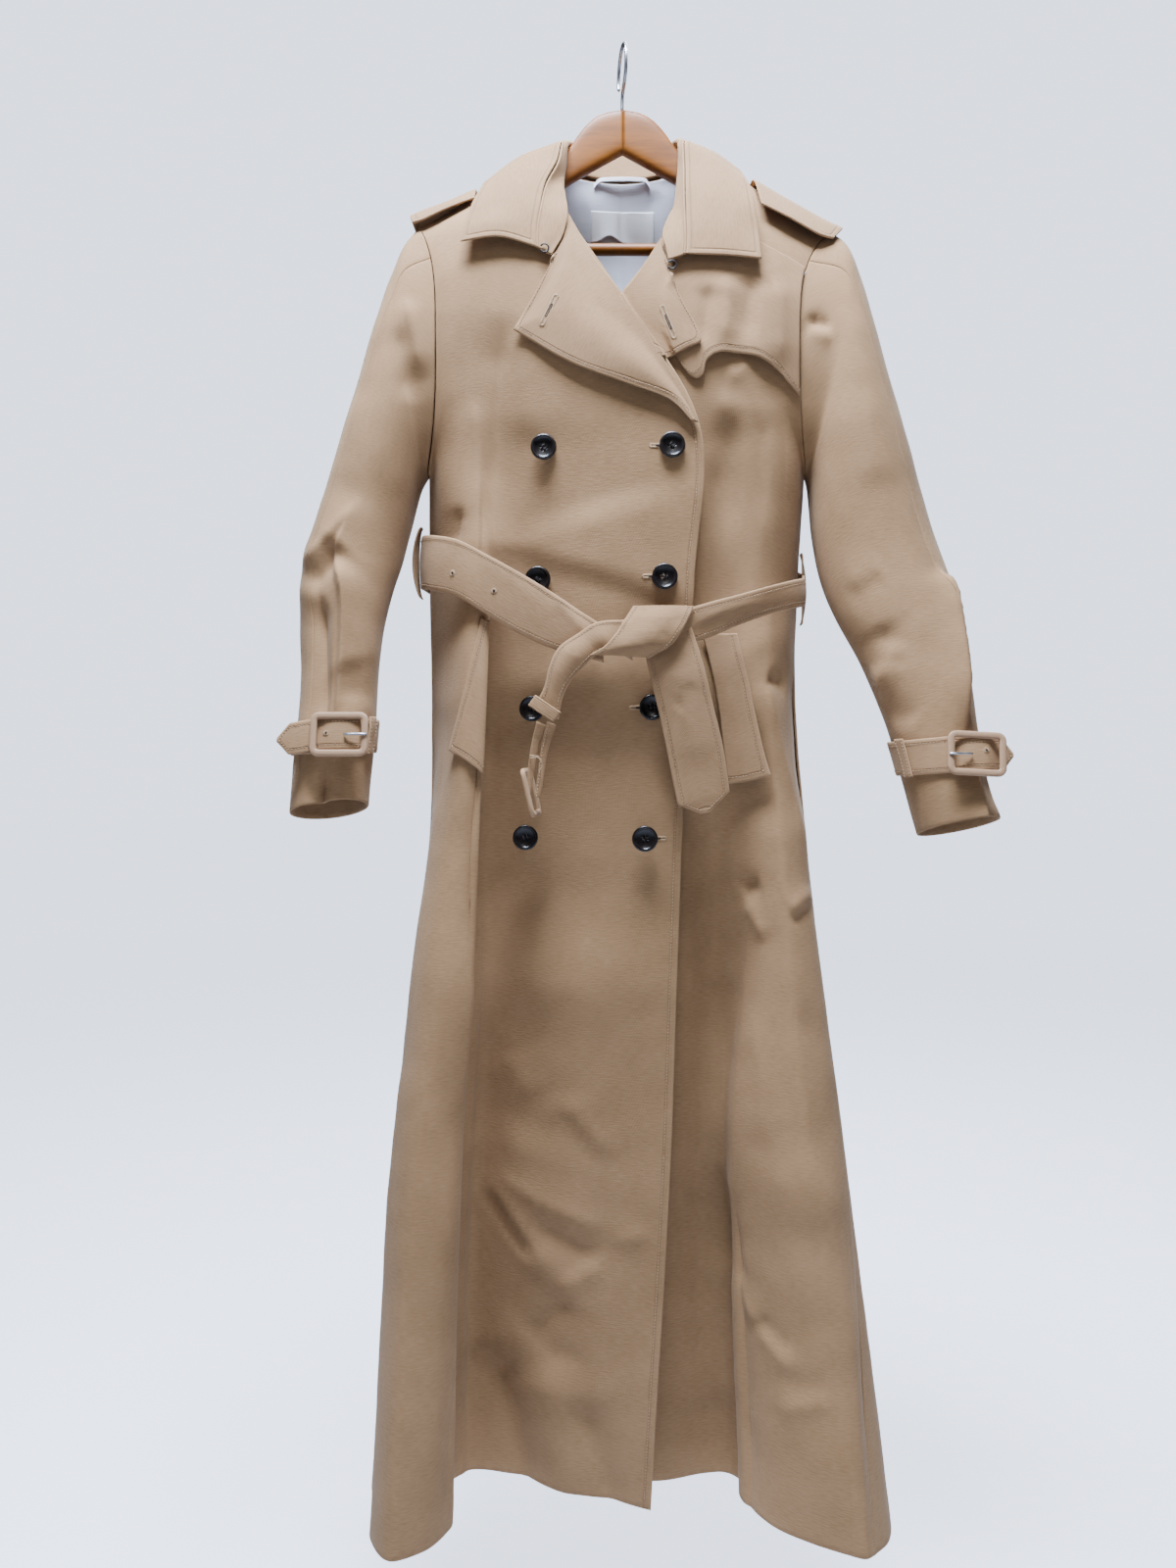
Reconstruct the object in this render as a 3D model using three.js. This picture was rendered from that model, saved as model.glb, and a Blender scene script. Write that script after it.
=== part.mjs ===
// Double-breasted trench coat of cotton gabardine, hung on a wooden hanger with a trouser bar.
// Millimetres, +Z up, front of the coat towards -Y, +X to the wearer's left side.
// The origin is the inside of the hanger hook's top, where it rests on a rail.
import * as THREE from "three";

// ---------- driving dimensions ----------
const BODY_WALL = 2; // two layers of gabardine with the facing or the lining
const SLEEVE_WALL = 1.6;
const TRIM_WALL = 2.4; // interlined collar, lapels, belt and straps
const SEAM_GAP = 0.5; // from a piece's edge to the seam line
const ARMHOLE_GAP = 1.6; // from the body's edge to the sleeve head
const BUTTON_DIAMETER = 25;
const BUTTON_THICKNESS = 4;
const BUTTON_RIM = 2.2;
const HANGER_THICKNESS = 14;
const BAR_DIAMETER = 12;
const BAR_HEIGHT = -205;
const BAR_REACH = 167.3;
const WIRE_DIAMETER = 3.5;
const RAIL_RADIUS = 21.5; // the hook's bend fits a rail of about this radius
const HOOK_YAW = 8; // degrees that the hook's plane is turned about its shank

// ---------- colours ----------
const paint = (color, roughness, metalness = 0) =>
  new THREE.MeshStandardMaterial({ color, roughness, metalness });
const GABARDINE = paint(0xa88a6c, 0.9);
const SATIN = paint(0xe6e2dc, 0.45);
const HORN = paint(0x35261e, 0.35);
const BUCKLE = paint(0x5c4636, 0.5);
const WOOD = paint(0xd9b48a, 0.5);
const STEEL = paint(0xc8c8c8, 0.25, 1);
const BLACK_STEEL = paint(0x1c1c1c, 0.4, 0.6);

// ---------- points, lines and grids ----------
const point = ([x, y, z]) => new THREE.Vector3(x, y, z);
const mix = THREE.MathUtils.lerp;
const radians = THREE.MathUtils.degToRad;

// A table with named columns: each row becomes an object.
const table = (columns, rows) =>
  rows.map((row) => Object.fromEntries(columns.map((name, i) => [name, row[i]])));

// A smooth line through points, read by place: 1.5 is half way from the second point to the third.
function through(points) {
  const curve = new THREE.CatmullRomCurve3(points, false, "centripetal");
  const spans = points.length - 1;
  return (place) => curve.getPoint(THREE.MathUtils.clamp(place / spans, 0, 1));
}

// Places from first to last, with so many steps in each whole span.
function places(first, last, steps) {
  const count = Math.max(1, Math.round(Math.abs(last - first) * steps));
  return Array.from({ length: count + 1 }, (_, i) => mix(first, last, i / count));
}

// A surface over lines that run up the cloth: read by place across the lines and place up them.
const surface = (lines) => (across, up) => through(lines.map((line) => line(up)))(across);

const gridOn = (face, across, up) => up.map((v) => across.map((u) => face(u, v)));

// The outward direction at each point of a grid whose columns run on to the right, seen from outside.
function normalsOf(grid, closed) {
  const last = grid.length - 1;
  return grid.map((row, i) =>
    row.map((_, j) => {
      const n = row.length;
      const left = closed ? (j + n - 1) % n : Math.max(j - 1, 0);
      const right = closed ? (j + 1) % n : Math.min(j + 1, n - 1);
      const along = row[right].clone().sub(row[left]);
      const up = grid[Math.min(i + 1, last)][j].clone().sub(grid[Math.max(i - 1, 0)][j]);
      return along.cross(up).normalize();
    }),
  );
}

// One sheet of cloth: the points of its outer face and the wall behind them.
const cloth = (grid, wall, closed = false) => ({ grid, wall, closed, normals: normalsOf(grid, closed) });

// Visits each rim place of a sheet with the neighbour that lies inwards.
function eachRim(sheet, visit) {
  const { grid, closed } = sheet;
  const rows = grid.length;
  const columns = grid[0].length;
  for (let j = 0; j < columns; j++) {
    visit(0, j, 1, j);
    visit(rows - 1, j, rows - 2, j);
  }
  if (closed) return;
  for (let i = 0; i < rows; i++) {
    visit(i, 0, i, 1);
    visit(i, columns - 1, i, columns - 2);
  }
}

// Sheets that share a seam get one direction along it, so their walls meet in a mitre.
function sew(...sheets) {
  const sums = new Map();
  const key = (p) => p.toArray().map((v) => v.toFixed(1)).join();
  for (const sheet of sheets) {
    const seen = new Set();
    eachRim(sheet, (i, j) => {
      const place = key(sheet.grid[i][j]);
      if (seen.has(i + "," + j)) return;
      seen.add(i + "," + j);
      if (!sums.has(place)) sums.set(place, new THREE.Vector3());
      sums.get(place).add(sheet.normals[i][j]);
    });
  }
  for (const sheet of sheets)
    eachRim(sheet, (i, j) => {
      sheet.normals[i][j] = sums.get(key(sheet.grid[i][j])).clone().normalize();
    });
}

// Draws the rim of a sheet back from its seam lines.
function trim(sheet, gap) {
  const moved = sheet.grid.map((row) => row.map((p) => p.clone()));
  eachRim(sheet, (i, j, inI, inJ) => {
    const inwards = sheet.grid[inI][inJ].clone().sub(sheet.grid[i][j]);
    if (inwards.length() > 4 * gap) moved[i][j].addScaledVector(inwards.normalize(), gap);
  });
  return { ...sheet, grid: moved };
}

// The closed solid of a sheet: outer face, inner face one wall behind it, and the cut edges.
function solid(sheet) {
  const { grid, normals, wall, closed } = sheet;
  const rows = grid.length;
  const columns = grid[0].length;
  const outer = grid.flat();
  const inner = outer.map((p, k) => p.clone().addScaledVector(normals.flat()[k], -wall));
  const positions = [...outer, ...inner].flatMap((p) => p.toArray());
  const at = (i, j) => i * columns + (j % columns);
  const faces = [];
  const quad = (a, b, c, d) => faces.push(a, b, c, a, c, d);
  const back = outer.length;
  const spans = closed ? columns : columns - 1;
  for (let i = 0; i < rows - 1; i++)
    for (let j = 0; j < spans; j++) {
      const [a, b, c, d] = [at(i, j), at(i, j + 1), at(i + 1, j + 1), at(i + 1, j)];
      if (outer[a].distanceTo(outer[c]) <= outer[b].distanceTo(outer[d])) {
        quad(a, b, c, d);
        quad(back + a, back + d, back + c, back + b);
      } else {
        quad(b, c, d, a);
        quad(back + b, back + a, back + d, back + c);
      }
    }
  for (let j = 0; j < spans; j++) {
    quad(at(0, j), back + at(0, j), back + at(0, j + 1), at(0, j + 1));
    const top = rows - 1;
    quad(at(top, j + 1), back + at(top, j + 1), back + at(top, j), at(top, j));
  }
  if (!closed)
    for (let i = 0; i < rows - 1; i++) {
      quad(at(i + 1, 0), back + at(i + 1, 0), back + at(i, 0), at(i, 0));
      const end = columns - 1;
      quad(at(i, end), back + at(i, end), back + at(i + 1, end), at(i + 1, end));
    }
  const geometry = new THREE.BufferGeometry();
  geometry.setAttribute("position", new THREE.Float32BufferAttribute(positions, 3));
  geometry.setIndex(faces);
  geometry.computeVertexNormals();
  return geometry;
}

// The front-most depth of some sheets on a line of sight along Y, or null where there is no cloth.
function frontDepth(sheets, x, z) {
  let best = null;
  for (const { grid } of sheets)
    for (let i = 0; i < grid.length - 1; i++)
      for (let j = 0; j < grid[0].length - 1; j++) {
        const corners = [grid[i][j], grid[i][j + 1], grid[i + 1][j + 1], grid[i + 1][j]];
        for (const [a, b, c] of [corners.slice(0, 3), [corners[0], corners[2], corners[3]]]) {
          const area = (b.x - a.x) * (c.z - a.z) - (c.x - a.x) * (b.z - a.z);
          const s = ((x - a.x) * (c.z - a.z) - (c.x - a.x) * (z - a.z)) / area;
          const t = ((b.x - a.x) * (z - a.z) - (x - a.x) * (b.z - a.z)) / area;
          if (!(s >= -0.02 && t >= -0.02 && s + t <= 1.04)) continue;
          const y = a.y + s * (b.y - a.y) + t * (c.y - a.y);
          if (best === null || y < best) best = y;
        }
      }
  return best;
}

// Lays a grid in front of the sheets below it: no point comes closer to them than the lift.
function laidOver(grid, sheets, lift) {
  return grid.map((row) =>
    row.map((p) => {
      const below = frontDepth(sheets, p.x, p.z);
      const y = below === null ? p.y : Math.min(p.y, below - lift);
      return new THREE.Vector3(p.x, y, p.z);
    }),
  );
}

// ---------- armholes ----------
// The seam of each armhole: highest and lowest point, and how far it comes forward and back.
const ARMHOLE = {
  right: { top: [-207, -3, -186], bottom: [-197, -3, -438], middle: -184, front: 49, back: 48 },
  left: { top: [212, -3, -190], bottom: [185, -3, -438], middle: 172, front: 49, back: 48 },
};

// A point of the seam: 0 degrees is the top, 180 the underarm; forwards is 1 in front and -1 behind.
function armhole(side, degrees, forwards) {
  const { top, bottom, middle, front, back } = ARMHOLE[side];
  const cosine = Math.cos(radians(degrees));
  const sine = Math.sin(radians(degrees));
  const end = cosine > 0 ? top : bottom;
  const x = mix(middle, end[0], Math.abs(cosine) ** 3);
  const y = top[1] - sine * (forwards > 0 ? front : -back);
  return new THREE.Vector3(x, y, mix(bottom[2], top[2], (1 + cosine) / 2));
}

// ---------- levels of the body, hem to shoulder ----------
// turn is the place on the armhole in degrees; below the armhole the side seam has the height side.
const LEVELS = table(
  ["level", "side", "turn", "rightEdge", "leftEdge", "back"],
  [
    ["hem", -1476, null, -1476, -1476, -1476],
    ["knee", -1150, null, -1150, -1150, -1150],
    ["thigh", -939, null, -939, -939, -939],
    ["hip", -788, null, -788, -788, -788],
    ["seat", -655, null, -655, -655, -655],
    ["waist", -550, null, -550, -550, -550],
    ["underarm", -438, 180, -405, -365, -434],
    ["chest", null, 120, -276, -276, -345],
    ["yoke", null, 75, -196, -213, -250],
    ["collarbone", null, 40, -152, -152, -178],
    ["ridge", null, 15, -120, -120, -128],
    ["shoulder", null, 0, -108, -108, -117],
  ],
);
const UNDERARM = LEVELS.findIndex((row) => row.level === "underarm");
const TOP_LEVEL = LEVELS.length - 1;

// ---------- sections of the three panels: x and y where each fold line crosses the level ----------
// A third number is the height, where the line leaves the level.
const FRONT_RIGHT = table(
  ["side", "round", "lobe", "crease", "undercut", "valley", "middle", "edge"],
  [
    [[-250, -20], [-243, -75], [-219, -103], [-168, -57], [-184, 16], [-150, 40], [-60, 7], [27, -26]],
    [[-232, 0], [-228, -50], [-200, -86], [-160, -64], [-172, -6], [-140, 14], [-50, -22], [45, -42]],
    [[-212, 10], [-207, -45], [-180, -78], [-147, -72], [-155, -18], [-128, 0], [-40, -44], [52, -52]],
    [[-198, 15], [-188, -35], [-162, -68], [-140, -70], [-144, -34], [-118, -20], [-35, -58], [57, -60]],
    [[-197, 14], [-175, -35], [-153, -62], [-135, -66], [-136, -44], [-112, -32], [-30, -60], [63, -62]],
    [[-198, 10], [-172, -30], [-151, -54], [-134, -58], [-126, -48], [-108, -40], [-28, -62], [68, -64]],
    [[-197, -3], [-182, -35], [-161, -50], [-140, -55], [-126, -54], [-108, -54], [-20, -66], [73, -68]],
    [[-187, -45], [-176, -52], [-158, -56], [-138, -59], [-122, -61], [-100, -63], [-48, -66], [-2, -62]],
    [[-184, -50], [-175, -54], [-160, -56], [-142, -57], [-124, -57], [-105, -56], [-75, -52], [-50, -45]],
    [[-190, -34], [-180, -37], [-165, -39], [-150, -40], [-132, -40], [-112, -38], [-86, -32], [-66, -25]],
    [[-205, -15], [-190, -14], [-174, -14], [-157, -14], [-139, -14], [-119, -13], [-96, -12], [-76, -10]],
    [[-207, -3], [-192, -3], [-175, -3], [-158, -2], [-140, -1], [-120, 0], [-98, 0], [-80, 1]],
  ],
);

const FRONT_LEFT = table(
  ["edge", "free", "valley", "inner", "crease", "slope", "lobe", "round", "side"],
  [
    [[-80, 34], [36, 24], [88, 32], [114, 22], [121, -22], [146, -54], [210, -94], [226, -100], [236, -94]],
    [[-75, 12], [50, 0], [81, 10], [102, 2], [110, -20], [133, -45], [185, -78], [218, -58], [224, -20]],
    [[-70, -18], [58, -26], [89, -14], [108, -18], [119, -30], [138, -46], [164, -62], [193, -44], [200, -5]],
    [[-65, -36], [62, -42], [91, -36], [110, -39], [124, -45], [137, -51], [153, -56], [174, -38], [186, 0]],
    [[-62, -44], [66, -48], [95, -45], [111, -47], [123, -50], [133, -51], [143, -49], [163, -28], [177, 5]],
    [[-60, -46], [70, -50], [100, -47], [114, -46], [126, -46], [136, -44], [149, -38], [168, -20], [179, 2]],
    [[-60, -52], [76, -56], [104, -56], [120, -56], [134, -54], [146, -52], [158, -46], [173, -32], [185, -3]],
    [[-2, -54], [34, -56], [62, -57], [88, -57], [108, -57], [126, -56], [142, -53], [158, -49], [174, -45]],
    [[37, -40], [55, -45], [75, -49], [95, -51], [113, -52], [130, -52], [146, -52], [160, -51], [172, -50]],
    [[66, -25], [80, -28], [95, -31], [110, -34], [126, -36], [142, -37], [158, -37], [174, -36], [190, -34]],
    [[76, -10], [92, -12], [109, -13], [128, -14], [146, -14], [163, -14], [179, -14], [194, -14], [208, -15]],
    [[80, 1], [95, 0], [112, -1], [130, -1], [148, -2], [165, -2], [180, -3], [196, -3], [212, -3]],
  ],
);

// The back runs from the left side seam round to the right one.
const BACK = table(
  ["side", "wrap", "turn", "flare", "fold", "hollow", "centre", "dip", "swell", "wing", "bend", "end"],
  [
    [[236, -94], [256, -70], [262, 10], [225, 80], [150, 120], [80, 98], [0, 122], [-70, 96], [-130, 118],
      [-215, 92], [-258, 30], [-250, -20]],
    [[224, -20], [230, -4], [228, 24], [200, 66], [140, 90], [70, 76], [0, 92], [-60, 76], [-120, 92],
      [-200, 78], [-237, 30], [-232, 0]],
    [[200, -5], [203, 6], [202, 24], [178, 58], [125, 78], [65, 66], [0, 78], [-58, 66], [-115, 80],
      [-180, 68], [-213, 36], [-212, 10]],
    [[186, 0], [188, 10], [187, 24], [165, 52], [115, 68], [60, 58], [0, 68], [-55, 58], [-110, 70],
      [-168, 60], [-197, 38], [-198, 15]],
    [[177, 5], [179, 14], [176, 26], [156, 46], [110, 60], [58, 52], [0, 60], [-54, 52], [-106, 62],
      [-162, 54], [-192, 36], [-197, 14]],
    [[179, 2], [179, 12], [174, 24], [152, 42], [108, 54], [56, 50], [0, 56], [-52, 50], [-104, 56],
      [-158, 48], [-190, 32], [-198, 10]],
    [[185, -3], [183, 8], [174, 24], [148, 40], [104, 48], [54, 46], [0, 50], [-52, 46], [-102, 48],
      [-156, 42], [-186, 26], [-197, -3]],
    [[174, 38], [166, 41], [156, 43], [136, 46], [98, 49], [52, 48], [0, 50], [-52, 48], [-98, 49],
      [-140, 46], [-168, 42], [-187, 38]],
    [[172, 43], [164, 45], [152, 46], [130, 48], [94, 50], [50, 49], [0, 50], [-50, 49], [-94, 50],
      [-136, 47], [-164, 44], [-184, 43]],
    [[190, 28], [180, 30], [166, 32], [140, 34], [96, 38], [50, 45], [0, 47], [-50, 45], [-96, 38],
      [-142, 33], [-172, 30], [-190, 28]],
    [[208, 9], [196, 12, -187], [177, 14, -176], [140, 15, -154], [84, 16, -118], [50, 37, -124], [0, 43, -128],
      [-50, 37, -124], [-84, 16, -118], [-140, 15, -155], [-182, 12, -179], [-205, 9]],
    [[212, -3], [198, -2, -181], [178, 0, -169], [138, 1, -144], [80, 3, -108], [48, 34, -113], [0, 42, -117],
      [-48, 34, -113], [-80, 3, -108], [-140, 1, -145], [-182, -1, -171], [-207, -3]],
  ],
);

const STEPS_PER_LEVEL = [
  [0, 1, 3],
  [1, 2, 2],
  [2, UNDERARM, 1],
  [UNDERARM, UNDERARM + 2, 3],
  [UNDERARM + 2, TOP_LEVEL, 2],
];
const BODY_PLACES = STEPS_PER_LEVEL.flatMap(([from, to, steps]) => places(from, to, steps))
  .filter((place, i, all) => place !== all[i - 1]);

// One fold line of a panel, hem to shoulder.
function foldLine(rows, name, heightAt) {
  return through(rows.map((row, i) => point([row[name][0], row[name][1], row[name][2] ?? heightAt(i, row[name][0])])));
}

// The side seam up to the underarm, then the armhole seam.
function sideLine(rows, name, side, forwards) {
  const seam = foldLine(rows.slice(0, UNDERARM + 1), name, (i) => LEVELS[i].side);
  return (up) => {
    if (up < UNDERARM) return seam(up);
    const i = Math.min(Math.floor(up), TOP_LEVEL - 1);
    return armhole(side, mix(LEVELS[i].turn, LEVELS[i + 1].turn, up - i), forwards);
  };
}

// The height of a level at x: from the seam at the side to the panel's far edge.
function slopingHeight(i, x, side, forwards, far, farX) {
  const level = LEVELS[i];
  if (level.turn === null) return level.side;
  const seam = armhole(side, level.turn, forwards);
  return mix(seam.z, level[far], THREE.MathUtils.clamp((x - seam.x) / (farX - seam.x), 0, 1));
}

function panel(rows, sides, heightAt) {
  return surface(
    Object.keys(rows[0]).map((name) =>
      name in sides ? sideLine(rows, name, ...sides[name]) : foldLine(rows, name, heightAt),
    ),
  );
}

const frontRightFace = panel(FRONT_RIGHT, { side: ["right", 1] }, (i, x) =>
  slopingHeight(i, x, "right", 1, "rightEdge", FRONT_RIGHT[i].edge[0]),
);
const frontLeftFace = panel(FRONT_LEFT, { side: ["left", 1] }, (i, x) =>
  slopingHeight(i, x, "left", 1, "leftEdge", FRONT_LEFT[i].edge[0]),
);
const backFace = panel(BACK, { side: ["left", -1], end: ["right", -1] }, (i, x) =>
  slopingHeight(i, x, x > 0 ? "left" : "right", -1, "back", 0),
);

const frontRight = cloth(gridOn(frontRightFace, places(0, 7, 2), BODY_PLACES), BODY_WALL);
const frontLeft = cloth(gridOn(frontLeftFace, places(0, 8, 2), BODY_PLACES), BODY_WALL);
const back = cloth(gridOn(backFace, places(0, 11, 1.64), BODY_PLACES), BODY_WALL);
sew(frontRight, frontLeft, back);
// Along the shoulder seams the walls of front and back stand upright.
for (const sheet of [frontRight, frontLeft, back])
  sheet.normals.at(-1).forEach((direction) => direction.setY(0).normalize());

// ---------- sleeves ----------
// Rings from the mouth up: outer and inner point in x and z, depth of the centre, half the depth.
const SLEEVE_RIGHT = table(
  ["ring", "outer", "inner", "y", "half"],
  [
    ["mouth", [-321, -780], [-247, -769], -70, 45],
    ["cuff", [-319, -741], [-245, -738], -64, 46],
    ["wrist", [-317, -702], [-242, -698], -58, 46],
    ["forearm", [-316, -644], [-241, -644], -48, 46],
    ["fold", [-319, -585], [-237, -595], -38, 48],
    ["below", [-317, -530], [-229, -555], -28, 50],
    ["elbow", [-305, -483], [-222, -529], -20, 52],
    ["above", [-287, -419], [-216, -501], -14, 54],
    ["biceps", [-267, -349], [-210, -473], -10, 56],
    ["cap", [-250, -288], [-205, -453], -7, 56],
    ["crown", [-234, -238], [-202, -446], -5, 54],
    ["head", [-219, -202], [-199, -441], -4, 51],
  ],
);
const SLEEVE_LEFT = table(
  ["ring", "outer", "inner", "y", "half"],
  [
    ["mouth", [359, -785], [284, -797], -70, 45],
    ["cuff", [350, -744], [272, -752], -63, 46],
    ["wrist", [342, -700], [262, -708], -55, 47],
    ["forearm", [340, -652], [247, -662], -46, 48],
    ["fold", [336, -602], [229, -620], -38, 50],
    ["below", [327, -556], [212, -585], -30, 52],
    ["elbow", [306, -490], [199, -546], -20, 54],
    ["above", [284, -404], [191, -500], -14, 56],
    ["biceps", [265, -334], [189, -468], -10, 57],
    ["cap", [250, -276], [188, -452], -7, 56],
    ["crown", [238, -234], [187, -445], -5, 54],
    ["head", [225, -203], [186, -441], -4, 51],
  ],
);
const SLEEVE_SEAMS = [50, 200]; // degrees round the sleeve from its outer edge over the front

// A sleeve's face, read by degrees round it and by place up it; the last ring is the armhole seam.
function sleeveFace(rings, side) {
  return (degrees, up) => {
    const around = rings.map(({ outer, inner, y, half }) => {
      const reach = (1 + Math.cos(radians(degrees))) / 2;
      const x = mix(inner[0], outer[0], reach);
      return point([x, y - half * Math.sin(radians(degrees)), mix(inner[1], outer[1], reach)]);
    });
    const turn = ((degrees % 360) + 360) % 360;
    const seam = armhole(side, turn > 180 ? 360 - turn : turn, turn > 180 ? -1 : 1);
    seam.x += side === "right" ? -ARMHOLE_GAP : ARMHOLE_GAP;
    return through([...around, seam])(up);
  };
}
const rightSleeveFace = sleeveFace(SLEEVE_RIGHT, "right");
const leftSleeveFace = sleeveFace(SLEEVE_LEFT, "left");

// The upper half lies in front of the two long seams, the under half behind them.
function sleeveHalves(face, side) {
  const [first, second] = SLEEVE_SEAMS;
  const up = places(0, SLEEVE_RIGHT.length, 1.5);
  const spread = (from, to, count) => places(from, to, count / Math.abs(to - from));
  const ordered = (angles) => (side === "right" ? angles : angles.toReversed());
  const upper = cloth(gridOn(face, ordered(spread(first, second, 9)), up), SLEEVE_WALL);
  const under = cloth(gridOn(face, ordered(spread(second, first + 360, 12)), up), SLEEVE_WALL);
  sew(upper, under);
  return { upper, under };
}
const rightSleeve = sleeveHalves(rightSleeveFace, "right");
const leftSleeve = sleeveHalves(leftSleeveFace, "left");

// ---------- storm flap, on the left shoulder only ----------
// Its free edge on the left front: place across the panel, place up it, stand-off of the edge.
const FLAP_EDGE = table(
  ["across", "up", "lift"],
  [
    [2.0, 6.72, 2.8],
    [2.2, 6.66, 3.4],
    [2.7, 6.78, 5],
    [3.4, 6.97, 7],
    [4.3, 7.1, 6],
    [5.4, 7.17, 9],
    [6.6, 7.16, 6],
    [7.9, 7.06, 4],
  ],
);
const FLAP_TOP = 8.55;
const FLAP_TOP_LIFT = 2.8;

// A point of a panel moved straight out of its face.
function movedOut(face, across, up, lift) {
  const step = 0.05;
  const along = face(across + step, up).sub(face(across - step, up));
  const rise = face(across, up + step).sub(face(across, up - step));
  return face(across, up).addScaledVector(along.cross(rise).normalize(), lift);
}

function stormFlap() {
  const edge = through(FLAP_EDGE.map((row) => point([row.across, row.up, row.lift])));
  const grid = places(0, 1, 6).map((rise) =>
    places(0, FLAP_EDGE.length - 1, 2).map((along) => {
      const { x: across, y: up, z: lift } = edge(along);
      return movedOut(frontLeftFace, across, mix(up, FLAP_TOP, rise), mix(lift, FLAP_TOP_LIFT, rise));
    }),
  );
  return cloth(grid, BODY_WALL);
}
const flap = stormFlap();

// ---------- lapels ----------
// Rows from the gorge to the break: point on the roll line, middle and outer edge.
const LAPEL_RIGHT = table(
  ["roll", "middle", "outer"],
  [
    [[-53, -48, -192], [-58, -54, -217], [-68, -58, -241]],
    [[-31, -56, -236], [-58, -66, -254], [-87, -64, -277]],
    [[-2, -62, -276], [-52, -72, -290], [-107, -68, -312]],
    [[17, -66, -307], [-17, -76, -324], [-51, -74, -346]],
    [[36, -68, -339], [19, -78, -352], [4, -76, -367]],
    [[57, -70, -376], [50, -76, -379], [45, -76, -383]],
    [[71, -71, -403], [67, -75, -402], [64, -75, -402]],
  ],
);
const LAPEL_LEFT = table(
  ["roll", "middle", "outer"],
  [
    [[37, -46, -213], [38, -50, -228], [41, -55, -243]],
    [[20, -54, -242], [36, -58, -261], [57, -60, -283]],
    [[8, -57, -259], [38, -62, -289], [74, -64, -322]],
    [[-3, -58, -276], [26, -61, -303], [61, -64, -329]],
    [[11, -58, -303], [28, -60, -319], [49, -61, -335]],
    [[26, -59, -328], [30, -60, -333], [36, -60, -339]],
  ],
);
const LAPEL_LIFT = 4.4;
const lines = (rows, names) => names.map((name) => through(rows.map((row) => point(row[name]))));

function lapel(rows, names, carriers) {
  const up = places(rows.length - 1, 0, 2);
  const laid = laidOver(gridOn(surface(lines(rows, names)), places(0, 2, 3), up), carriers, LAPEL_LIFT);
  return cloth(laid, TRIM_WALL);
}
const lapelLeft = lapel(LAPEL_LEFT, ["roll", "middle", "outer"], [frontLeft, flap]);
const lapelRight = lapel(LAPEL_RIGHT, ["outer", "middle", "roll"], [frontRight]);

// ---------- collar ----------
// Stations from the right front end round the back to the left front end.
const COLLAR = table(
  ["neck", "roll", "seam", "middle", "outer"],
  [
    [[-70, -60, -239], [-77, -62, -236], [-85, -62, -231], [-121, -64, -222], [-158, -62, -226]],
    [[-59, -56, -216], [-71, -58, -214], [-85, -58, -212], [-120, -61, -207], [-156, -58, -212]],
    [[-55, -49, -190], [-63, -50, -190], [-82, -52, -188], [-116, -54, -190], [-152, -50, -194]],
    [[-63, -22, -150], [-61, -20, -145], [-77, -40, -158], [-112, -45, -170], [-148, -42, -178]],
    [[-71, -14, -128], [-59, -13, -125], [-66, -28, -130], [-104, -30, -144], [-143, -28, -160]],
    [[-76, -8, -111], [-57, -10, -104], [-62, -14, -105], [-103, -12, -122], [-141, -10, -146]],
    [[-78, 2, -106], [-53, 2, -95], [-60, 4, -95], [-102, 4, -110], [-140, 4, -138]],
    [[-46, 33, -111], [-40, 38, -82], [-43, 42, -82], [-68, 54, -120], [-96, 58, -160]],
    [[0, 41, -114], [0, 52, -76], [0, 56, -76], [0, 66, -122], [0, 68, -170]],
    [[46, 33, -111], [42, 38, -82], [45, 42, -82], [68, 54, -120], [92, 58, -160]],
    [[78, 2, -106], [57, 2, -93], [63, 4, -93], [92, 4, -106], [118, 4, -125]],
    [[76, -8, -111], [58, -10, -106], [62, -14, -106], [92, -14, -120], [122, -12, -138]],
    [[71, -14, -128], [58, -13, -128], [62, -26, -131], [94, -30, -144], [126, -30, -158]],
    [[63, -22, -150], [55, -24, -156], [61, -42, -166], [94, -46, -176], [128, -46, -182]],
    [[38, -48, -212], [49, -50, -209], [61, -54, -206], [95, -57, -208], [131, -54, -213]],
    [[41, -55, -229], [51, -57, -226], [61, -58, -223], [96, -61, -226], [132, -59, -229]],
    [[43, -59, -242], [52, -60, -240], [60, -61, -237], [97, -63, -239], [133, -62, -242]],
  ],
);
const COLLAR_LIFT = 4;

function collar(names, steps) {
  const stations = places(0, COLLAR.length - 1, 1.5);
  const columns = surface(lines(COLLAR, names));
  const flat = places(0, names.length - 1, steps).map((u) => stations.map((v) => columns(u, v)));
  const laid = flat.map((row) =>
    row.map((p, k) => {
      const inFront = stations[k] < 4 || stations[k] > 12;
      return inFront ? laidOver([[p]], [frontRight, frontLeft, flap], COLLAR_LIFT)[0][0] : p;
    }),
  );
  return cloth(laid.toReversed(), TRIM_WALL);
}
const collarFall = collar(["seam", "middle", "outer"], 2);
const collarStand = collar(["neck", "roll", "seam"], 2);

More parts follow.
